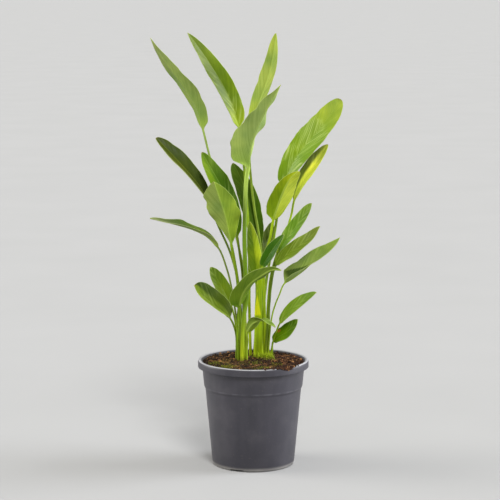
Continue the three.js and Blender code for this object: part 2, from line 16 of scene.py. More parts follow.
import bmesh
import bpy
import numpy as np
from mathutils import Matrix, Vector


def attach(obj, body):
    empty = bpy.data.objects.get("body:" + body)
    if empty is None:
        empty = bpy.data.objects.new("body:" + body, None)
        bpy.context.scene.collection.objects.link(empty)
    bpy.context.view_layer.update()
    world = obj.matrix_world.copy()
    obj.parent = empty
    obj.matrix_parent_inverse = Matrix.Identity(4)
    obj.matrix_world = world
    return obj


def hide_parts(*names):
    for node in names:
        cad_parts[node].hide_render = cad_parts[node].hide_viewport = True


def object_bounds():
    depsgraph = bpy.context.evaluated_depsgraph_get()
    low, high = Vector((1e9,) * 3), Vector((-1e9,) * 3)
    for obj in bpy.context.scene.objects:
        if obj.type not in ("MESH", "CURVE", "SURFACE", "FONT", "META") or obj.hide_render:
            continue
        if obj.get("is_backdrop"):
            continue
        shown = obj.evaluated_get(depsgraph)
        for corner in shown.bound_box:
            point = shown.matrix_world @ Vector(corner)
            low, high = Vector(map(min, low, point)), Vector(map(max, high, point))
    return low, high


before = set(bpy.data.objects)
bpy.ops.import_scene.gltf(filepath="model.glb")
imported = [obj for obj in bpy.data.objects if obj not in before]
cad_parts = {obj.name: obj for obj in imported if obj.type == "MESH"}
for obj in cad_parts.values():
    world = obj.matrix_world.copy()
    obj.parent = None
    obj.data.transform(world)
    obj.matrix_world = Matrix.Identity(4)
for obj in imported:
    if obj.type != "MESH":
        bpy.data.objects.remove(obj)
cad_box = [list(corner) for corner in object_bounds()]
size_mm = [round(1000 * (high - low), 1) for low, high in zip(*cad_box)]
print("packed model:", len(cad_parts), "nodes,", size_mm, "mm")

# %% [markdown]
# ## The camera
#
# The photograph was taken from 3 m or so away, a little above the plant's middle, with a long
# lens. That shows in the pot: its rim is an open oval, and its sides hardly converge. A wide
# lens close by would give the same width, but it would bend the tall leaves outwards. So the
# camera stands back and looks down by 8 degrees.

# %% The camera
FRAME_PIXELS = 500
AXIS_OFF_CENTRE = 3.3  # pixels from the frame's middle to the pot's axis
EYE_HEIGHT, EYE_DISTANCE = 0.83, 3.2  # metres
LOOKS_DOWN = 8.16  # degrees
LENS_MM, SENSOR_MM = 136.6, 36
FAR_AWAY = 400  # metres, as far as the camera sees and the floor reaches

eye = bpy.data.cameras.new("camera")
eye.sensor_width = SENSOR_MM
eye.lens = LENS_MM
eye.shift_x = -AXIS_OFF_CENTRE / FRAME_PIXELS
eye.clip_end = FAR_AWAY
camera = bpy.data.objects.new("camera", eye)
camera.location = (0, -EYE_DISTANCE, EYE_HEIGHT)
camera.rotation_euler = (math.radians(90 - LOOKS_DOWN), 0, 0)
bpy.context.scene.collection.objects.link(camera)
bpy.context.scene.camera = camera
print("camera:", LENS_MM, "mm lens,", EYE_DISTANCE, "m away")

# %% [markdown]
# ## Numbers for natural shapes
#
# Everything that grew or crumbled is uneven, but it has to be uneven in the same way each
# time. Blender's own noise textures only reach the shaders here, so the meshes get their
# unevenness from a small noise function in numpy: fixed random numbers on a lattice, joined by
# the smooth step. It works on whole arrays of points at once.

# %% Steps, blends and noise
MM = 0.001  # metres
LARGE = np.array([374761393, 668265263, 2147483629, 1274126177], np.uint64)  # large odd numbers
LOW_BITS = np.uint64(0xFFFFFF)


def mix(a, b, t):
    """From a at t = 0 to b at t = 1, in a straight line: a + (b - a) t."""
    return a + (b - a) * t


def step(low, high, x):
    """0 up to low, 1 from high on, and 3 s^2 - 2 s^3 between, where s runs from 0 to 1."""
    s = np.clip((x - low) / (high - low), 0, 1)
    return s * s * (3 - 2 * s)


def unit(vectors):
    """The same directions, with length 1."""
    return vectors / np.linalg.norm(vectors, axis=-1, keepdims=True)


def lattice(cells, seed):
    """A fixed random number from 0 to 1 for each whole-numbered cell of space. The cell's three
    numbers and the seed make one sum of large products, whose bits are stirred twice."""
    h = (cells.astype(np.uint64) * LARGE[:3]).sum(axis=-1) + np.uint64(seed * 97 + 13)
    h = (h ^ (h >> np.uint64(13))) * LARGE[3]
    h = h ^ (h >> np.uint64(16))
    return (h & LOW_BITS).astype(float) / float(LOW_BITS)


def noise(points, size, seed=0):
    """Smooth noise from -1 to 1. Each of a cell's eight corners has its random number, and a
    point takes their mean, weighted by the product of the smooth steps along x, y and z."""
    p = points / size
    cell = np.floor(p)
    w = step(0, 1, p - cell)
    total = 0
    for corner in np.ndindex(2, 2, 2):
        share = np.prod(np.where(corner, w, 1 - w), axis=-1)
        total = total + share * lattice((cell + corner).astype(np.int64), seed)
    return 2 * total - 1


def rough(points, size, seed=0, layers=3):
    """Noise with finer noise on it: each layer has half the size and half the height."""
    return sum(noise(points, size / 2**k, seed + k) / 2**k for k in range(layers))


test = noise(np.linspace(0, 1, 3000).reshape(-1, 3), 0.01)
print("noise runs from", round(test.min(), 2), "to", round(test.max(), 2))

# %% [markdown]
# ## From a grid of points to a piece
#
# A leaf, a pot and a heap of soil are all grids: one parameter runs along the piece and the
# other round or across it. One helper turns such a grid into a mesh. It could go through
# bmesh, face by face, but whole arrays are faster and shorter. Numbers that belong to the
# points, such as how far each lies from a leaf's midrib, go along as attributes, so that a
# material can follow the surface.

# %% Grids and pieces


def grid_faces(rows, columns, ring):
    """Four corners for each cell of a grid. With ring, the last column joins the first."""
    i = np.arange(rows - 1)[:, None] * columns
    j = np.arange(columns if ring else columns - 1)[None, :]
    k = (j + 1) % columns
    faces = np.stack([i + j, i + k, i + columns + k, i + columns + j], axis=-1)
    return faces.reshape(-1, 4)


def tube_faces(rows, columns):
    """The faces of rings of points that are joined to a tube, with one face over each end."""
    last = (rows - 1) * columns
    ends = [list(range(columns))[::-1], list(range(last, last + columns))]
    return grid_faces(rows, columns, ring=True).tolist() + ends


def piece(name, points, faces, finish, numbers=None, smooth=True):
    """A mesh object at the origin, with its place in its points, and one attribute for each
    entry of numbers: one value a point, or three for a colour."""
    mesh = bpy.data.meshes.new(name)
    mesh.from_pydata(points.reshape(-1, 3).tolist(), [], [list(f) for f in faces])
    for key, values in (numbers or {}).items():
        if values.size == points.size:
            colours = np.ones((values.size // 3, 4))
            colours[:, :3] = values.reshape(-1, 3)
            attribute = mesh.attributes.new(key, "FLOAT_COLOR", "POINT")
            attribute.data.foreach_set("color", colours.ravel())
        else:
            attribute = mesh.attributes.new(key, "FLOAT", "POINT")
            attribute.data.foreach_set("value", values.ravel().astype(np.float32))
    mesh.shade_smooth() if smooth else mesh.shade_flat()
    mesh.materials.append(finish)
    made = bpy.data.objects.new(name, mesh)
    bpy.context.scene.collection.objects.link(made)
    return made


def stand_for(made, node):
    """The piece rides on the plant's one body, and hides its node."""
    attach(made, "root")
    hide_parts(node)


print("a 3 by 4 ring has", len(grid_faces(3, 4, True)), "faces")

# %% [markdown]
# ## Materials as sums
#
# A material is a graph of nodes, and a long formula takes many of them. Written out node by
# node it hides what it does. So a small class wraps a socket and lets Python's own signs add
# the Math nodes: `1 - mask` becomes a Subtract node. Colours keep to Mix nodes, because a
# Math node would turn them grey.

# %% Shader maths


class Value:
    """One output socket of a graph. +, - and * on it add Math nodes."""

    def __init__(self, graph, socket):
        self.graph = graph
        self.socket = socket

    def math(self, operation, *others):
        """A Math node with this output in its first place."""
        return self.graph.math(operation, self, *others)

    def __add__(self, other):
        return self.math("ADD", other)

    __radd__ = __add__

    def __mul__(self, other):
        return self.math("MULTIPLY", other)

    __rmul__ = __mul__

    def __sub__(self, other):
        return self.math("SUBTRACT", other)

    def __rsub__(self, other):
        return self.graph.math("SUBTRACT", other, self)

    def step(self, low, high):
        """0 up to low, 1 from high on, and a smooth rise between."""
        settings = {"interpolation_type": "SMOOTHSTEP"}
        sockets = {"Value": self, "From Min": low, "From Max": high}
        return self.graph.node("MapRange", settings, sockets)


class Graph:
    """The nodes of one new material."""

    def __init__(self, name):
        self.material = bpy.data.materials.new(name)
        self.material.use_nodes = True
        self.tree = self.material.node_tree
        self.tree.nodes.clear()

    def node(self, kind, settings=None, sockets=None, out=0):
        """Adds a node of that kind: its settings first, then the values or links of its
        sockets. Gives back one of its outputs."""
        made = self.tree.nodes.new("ShaderNode" + kind)
        for key, value in (settings or {}).items():
            setattr(made, key, value)
        for key, value in (sockets or {}).items():
            if isinstance(value, Value):
                self.tree.links.new(value.socket, made.inputs[key])
            else:
                made.inputs[key].default_value = value
        return Value(self, made.outputs[out]) if made.outputs else None

    def math(self, operation, *values):
        """A Math node, with its values in their order."""
        return self.node("Math", {"operation": operation}, dict(enumerate(values)))

    def mix(self, share, a, b, blend="MIX"):
        """Colour a where share is 0 and colour b where it is 1."""
        colours = {0: share}
        for key, colour in ((6, a), (7, b)):
            colours[key] = colour if isinstance(colour, Value) else (*colour, 1)
        return self.node("Mix", {"data_type": "RGBA", "blend_type": blend}, colours, out=2)

    def number(self, name):
        """An attribute of the piece with one value a point."""
        return self.node("Attribute", {"attribute_name": name}, out="Fac")

    def colour(self, name):
        """An attribute of the piece with a colour a point."""
        return self.node("Attribute", {"attribute_name": name}, out="Color")

    def place(self, stretch=(1, 1, 1)):
        """Where the point lies, in metres, with each axis multiplied by its stretch."""
        spot = self.node("TexCoord", out="Object")
        if stretch == (1, 1, 1):
            return spot
        return self.node("Mapping", {}, {"Vector": spot, "Scale": stretch})

    def speckle(self, scale, detail=2.0, where=None):
        """Blender's noise, from 0 to 1, with scale blobs to the metre."""
        sockets = {"Vector": where or self.place(), "Scale": scale, "Detail": detail}
        return self.node("TexNoise", {}, sockets, out="Fac")

    def finish(self, height, depth, **surface):
        """The surface itself. The height gives it a relief of that depth in metres."""
        surface["Normal"] = self.node("Bump", {}, {"Height": height, "Distance": depth,
                                                   "Strength": 1.0})
        surface = {key.replace("_", " "): value for key, value in surface.items()}
        shader = self.node("BsdfPrincipled", {}, surface)
        self.node("OutputMaterial", {}, {"Surface": shader})
        return self.material


def paint(red, green, blue):
    """A colour in the 0 to 255 that screens use, as the linear numbers that light adds up in:
    ((c + 0.055) / 1.055) ^ 2.4, where c runs from 0 to 1, and c / 12.92 for the darkest."""
    c = np.array([red, green, blue]) / 255
    return np.where(c < 0.04, c / 12.92, ((c + 0.055) / 1.055) ** 2.4)


print("a middle grey of 128 is", round(paint(128, 128, 128)[0], 3), "of the light")

# %% [markdown]
# ## The course of a leaf
#
# A leaf stalk stands upright in the clump, bends out under its blade's weight, and runs on
# through the blade as its midrib. So one curve carries the whole leaf. A Bezier curve would need
# two handles for each point; a Catmull-Rom curve runs through its points and needs none. The
# centripetal kind is used, which spaces its parameter by the square root of the distances, so
# that it doesn't loop or swing out where two points lie close together.

# %% The course of a leaf
ROOT_END = 150  # mm, height of each stalk's buried end
FINE = 40  # straight steps of the curve between two of its points


def course(points, shares_of):
    """Points and directions along the curve through the points, at the shares of its length
    that shares_of gives when it is told the length up to each point.

    Between p1 and p2 the curve is p1 + m1 t + (3 (p2 - p1) - 2 m1 - m2) t^2
    + (2 (p1 - p2) + m1 + m2) t^3, and the slopes m1 and m2 come from the neighbours too."""
    ends = 2 * points[0] - points[1], 2 * points[-1] - points[-2]
    padded = np.vstack([ends[0], points, ends[1]])
    p0, p1, p2, p3 = padded[:-3], padded[1:-2], padded[2:-1], padded[3:]
    d0, d1, d2 = (
        np.linalg.norm(b - a, axis=1)[:, None] ** 0.5 for a, b in ((p0, p1), (p1, p2), (p2, p3))
    )
    m1 = ((p1 - p0) / d0 - (p2 - p0) / (d0 + d1) + (p2 - p1) / d1) * d1
    m2 = ((p2 - p1) / d1 - (p3 - p1) / (d1 + d2) + (p3 - p2) / d2) * d1
    p1, p2, m1, m2 = (a[:, None, :] for a in (p1, p2, m1, m2))
    t = (np.arange(FINE) / FINE)[None, :, None]
    curve = p1 + m1 * t + (3 * (p2 - p1) - 2 * m1 - m2) * t**2
    curve = (curve + (2 * (p1 - p2) + m1 + m2) * t**3).reshape(-1, 3)
    curve = np.vstack([curve, points[-1:]])
    length = np.cumsum(np.linalg.norm(np.diff(curve, axis=0, prepend=curve[:1]), axis=1))
    shares = shares_of(length[::FINE] / length[-1])
    at = shares * length[-1]
    slopes = np.gradient(curve, length, axis=0)
    place, along = (
        np.stack([np.interp(at, length, column) for column in known.T], axis=-1)
        for known in (curve, slopes)
    )
    return place, unit(along), shares, length[-1]


straight = np.array([[0, 0, 0], [0, 0, 1], [0, 0, 3.0]])
print("a straight course is", course(straight, lambda known: known)[3], "long")

# %% [markdown]
# ## The sections of a leaf
#
# A plane with a Solidify modifier would give the blade but not the stalk, and the seam between
# them would show. Here each section is one ring of points, over the upper side from the left
# margin to the right and back under the lower side, and it turns from the stalk's shape into
# the blade's over the first twelfth of the blade.

# %% The middle line of a leaf
STALK_SECTIONS, BLADE_SECTIONS = 46, 150
CROWDED = 0.8  # how much closer together the blade's sections are at its base and tip


def leaf_line(shape):
    """For each section of the leaf: its middle, the ways to its side and up, its share of the
    stalk's length and of the blade's, and how many mm it is from the blade's base."""
    path = np.array(shape["path"], float)
    root = path[:1] * (1, 1, 0)
    buried = [root + (0, 0, ROOT_END), root + (0, 0, mix(ROOT_END, path[0, 2], 0.5))]
    neck = shape["neck"] + len(buried)

    def shares_of(known):
        """Even steps up to the blade, and then the cosine's, which are shortest at both ends."""
        stalk = np.linspace(0, known[neck], STALK_SECTIONS, endpoint=False)
        t = np.linspace(0, 1, BLADE_SECTIONS)
        t = mix(t, 0.5 - 0.5 * np.cos(np.pi * t), CROWDED)
        return np.concatenate([stalk, mix(known[neck], 1, t)])

    centre, along, shares, total = course(np.vstack([*buried, path]), shares_of)
    start = shares[STALK_SECTIONS]
    blade = np.clip((shares - start) / (1 - start), 0, 1)[:, None]
    stem = np.clip(shares / start, 0, 1)[:, None]
    base, tip = (unit(np.array(way, float)) for way in shape["face"])
    up = mix(base, tip, step(0, 1, blade))
    up = unit(up - along * np.sum(up * along, axis=-1, keepdims=True))
    return centre, np.cross(along, up), up, stem, blade, blade * total * (1 - start)


print("a leaf has", STALK_SECTIONS + BLADE_SECTIONS, "sections")

# %% Round one section
ACROSS = 29  # points over the upper side, and as many under the lower

half_ring = np.linspace(-1, 1, ACROSS)
closer = np.sin(np.abs(half_ring) * np.pi / 2) ** 2  # at the midrib and the margins
half_ring = np.sign(half_ring) * mix(np.abs(half_ring), closer, 0.4)
SPAN = np.concatenate([half_ring, half_ring[::-1]])[None, :]  # -1 left margin, 1 right margin
UPPER = (np.arange(2 * ACROSS) < ACROSS)[None, :].astype(float)
HAND = np.where(SPAN > 0, 1.0, -1.0)
print("a section has", SPAN.size, "points")

# %% [markdown]
# Cut across, the stalk is an oval with a channel along its upper side. It is widest at its
# foot. A plain round bar would do from afar, but the channel gives each stalk the dark line
# that tells it from its neighbours.

# %% The stalk's section
STALK_FLATNESS, STALK_TAPER = 0.85, 1.5  # unless a leaf has its own
CHANNEL_DEEP, CHANNEL_WIDE = 0.4, 0.4  # shares of the stalk's half thickness and half width
SEAM = 6  # degrees between the oval's widest point and the ring's first and last points


def stalk_section(shape, stem):
    """An oval, x = a cos v and z = b sin v, with a channel pressed into its upper side."""
    root_half, neck_half = shape["stalk"]
    half = mix(neck_half, root_half, (1 - stem) ** shape.get("taper", STALK_TAPER))
    flat = mix(STALK_FLATNESS, shape.get("flatness", STALK_FLATNESS), (1 - stem) ** 0.5)
    angle = np.radians(90 - (90 - SEAM) * SPAN) * np.where(UPPER > 0, 1, -1)
    channel = 1 - CHANNEL_DEEP * UPPER * np.exp(-((SPAN / CHANNEL_WIDE) ** 2))
    return np.cos(angle) * half, np.sin(angle) * half * flat * channel


oval = stalk_section({"stalk": (2, 2)}, np.ones((1, 1)))
print("a stalk with a half width of 2 mm is", round(float(np.ptp(oval[1])), 1), "mm thick")

# %% [markdown]
# The blade is a thin plate, folded up along a midrib that stands out below, and its margins
# rise and fall in slow waves. Between the side veins the plate bulges a little, which is what
# makes light run in streaks over such a leaf. The veins leave the midrib at a slant and bend
# towards the tip. An outline drawn by hand for each leaf would take far more numbers than one
# formula with a place for its widest point, and with bays and lobes where a leaf has them.

# %% The blade's section
THICK_AT_RIB, THICK_AT_MARGIN = 0.8, 0.45  # mm
RIB_HALF, RIB_DEEP = (0.9, 0.7), (1.5, 1.1)  # stalk halves at the base, and mm at the tip
VEIN_BAND = 8.5  # mm, from one stronger side vein to the next, along the midrib
VEIN_SLANT = 2.3  # how far a side vein has run along the leaf for each mm outwards
VEIN_BEND = 0.01  # and how fast that grows outwards
RAGGED, RAGGED_OVER = 0.065, 26  # share of the half width that the margin strays, over mm
WAVES_VARY, WAVES_OVER = 0.7, 34  # how unevenly high the waves are, and over how many mm
WAVES_APART = 1.9  # radians that the left margin's waves are ahead of the right's
BULGE = 0.35  # mm that the plate rises or sinks between two side veins
ARCHED = 0.25  # how much more the halves rise next to the midrib
GROOVE_DEEP, GROOVE_WIDE = 0.5, 0.9  # mm, over the midrib
OTHER_HALF = 90  # mm that each half is put aside in the noise, so that the two differ


def outline(t, widest, fullness):
    """The blade's half width as a share of the fullest, at the share t of its length:
    t^(f w) (1 - t)^(f (1 - w)), divided by its own greatest value, at w, the widest point."""
    rise, close = fullness * widest, fullness * (1 - widest)
    return t**rise * (1 - t) ** close / (widest**rise * (1 - widest) ** close)


def margin_reach(shape, blade, beside, seed):
    """The width in mm of the half that each point is in: the outline, times noise, and times
    1 + a e^(-((t - w) / l)^2) for each lobe of that half."""
    widest = shape["widest"] + HAND * shape.get("lean", 0)
    half = shape["half"] * (1 + HAND * shape.get("uneven", 0))
    ragged = 1 + RAGGED * shape.get("ragged", 1) * rough(beside, RAGGED_OVER, seed)
    reach = half * ragged * outline(blade, widest, shape.get("fullness", 1.2))
    for hand, where, long, amount in shape.get("lobes", ()):
        reach = reach * (1 + amount * (HAND == hand) * np.exp(-(((blade - where) / long) ** 2)))
    return np.maximum(reach, 0.3)


def blade_section(shape, blade, along_mm, seed):
    """A thin plate with its halves raised, waved and bulging. The midrib below it and the
    groove above it are both bells e^(-(out / width)^2). Also gives the half's width, the way
    out from the midrib, and the vein number, all in mm."""
    beside = np.stack(np.broadcast_arrays(along_mm, OTHER_HALF * HAND, 0.0), axis=-1)
    reach = margin_reach(shape, blade, beside, seed)
    away = np.abs(SPAN)
    out = away * reach
    vein = along_mm - out * VEIN_SLANT - out**2 * VEIN_BEND
    height, count = shape["wave"]
    phase = 2 * np.pi * count * blade + np.where(HAND > 0, 0, WAVES_APART)
    uneven = 1 + WAVES_VARY * noise(beside, WAVES_OVER, seed + 3)
    waves = height * uneven * np.sin(np.pi * blade) * np.sin(phase) * away**1.6
    veins = np.stack(np.broadcast_arrays(vein, 0.12 * out, OTHER_HALF * HAND), axis=-1)
    bulge = BULGE * rough(veins, VEIN_BAND * 0.6, seed + 6, 2) * step(0.6, 6, out)
    bulge = bulge * step(0, 4, reach - out)
    neck_half = shape["stalk"][1]
    rib_half = mix(neck_half * RIB_HALF[0], RIB_HALF[1], blade**0.5)
    rib_deep = mix(neck_half * RIB_DEEP[0], RIB_DEEP[1], blade**0.6)
    ridge = rib_deep * np.exp(-((out / (0.8 * rib_half)) ** 2)) * shape.get("ridge", 1)
    groove = GROOVE_DEEP * np.exp(-((out / GROOVE_WIDE) ** 2)) * (1 - blade)
    fold = np.radians(mix(*shape["fold"], blade))
    arch = np.sin(fold) * out * (1 + ARCHED * (1 - away))
    thick = mix(THICK_AT_RIB, THICK_AT_MARGIN, away) * (1 - UPPER)
    x = HAND * (out * np.cos(fold) + thick * np.sin(fold))
    z = arch + waves + bulge - thick * np.cos(fold) - groove * UPPER - ridge * (1 - UPPER)
    return x, z, reach, out, vein


print("halfway, a blade that is widest there has", outline(0.5, 0.5, 1.2), "of its full width")

# %% [markdown]
# Every section has both shapes, the stalk's oval and the blade's plate. Which of them shows is a
# smooth step along the leaf, so there is no seam where the blade starts.

# %% The whole leaf as a grid
OPENS_OVER = 0.08  # share of the blade's length in which the stalk turns into it


def leaf_grid(shape, seed):
    """The leaf's rings of points in mm, and the numbers that its material follows."""
    centre, side, up, stem, blade, along_mm = leaf_line(shape)
    oval_x, oval_z = stalk_section(shape, stem)
    plate_x, plate_z, reach, out, vein = blade_section(shape, blade, along_mm, seed)
    opened = step(0, OPENS_OVER, blade)
    x, z = mix(oval_x, plate_x, opened), mix(oval_z, plate_z, opened)
    points = centre[:, None, :] + x[..., None] * side[:, None, :] + z[..., None] * up[:, None, :]
    numbers = dict(upper=UPPER, blade=opened, stem=stem, across=SPAN, along=along_mm, tip=blade)
    numbers = {key: value * np.ones_like(x) for key, value in numbers.items()}
    return points, numbers | dict(rib=out, rim=reach - out, vein=vein)


print("a leaf has", (STALK_SECTIONS + BLADE_SECTIONS) * SPAN.size, "points")

# %% [markdown]
# ## Two dozen leaves
#
# No two leaves of a clump are alike: the oldest are long, dark and stiff, the youngest short
# and yellow-green, and some show their paler underside. Scattering copies of one leaf would be
# quicker, but it shows at once. So each leaf has its own line of points and its own measures, the
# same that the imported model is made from. All lengths are millimetres.
#
# - slot: the material; path: points from the soil to the tip; neck: where the blade starts
# - half: half of the blade's width; widest: where along the blade that is; fullness: how
#   pointed it is at both ends, with 1.2 as usual
# - face: where the upper side looks, at the blade's base and at its tip
# - fold: degrees that the halves are raised about the midrib, at base and tip
# - stalk: half of its width at the root and at the blade; taper: how soon it gets there;
#   flatness: its thickness at the root, as a share of its width
# - lean, uneven: how much further up the right half is widest, and how much wider it is, than
#   the mean of both halves
# - ragged: how much more than usual the margin strays; ridge: how high the midrib stands
# - lobes: the half, with 1 for the right, the place, the length and the size of a bay or a lobe
# - wave: height and number of the waves along the margins

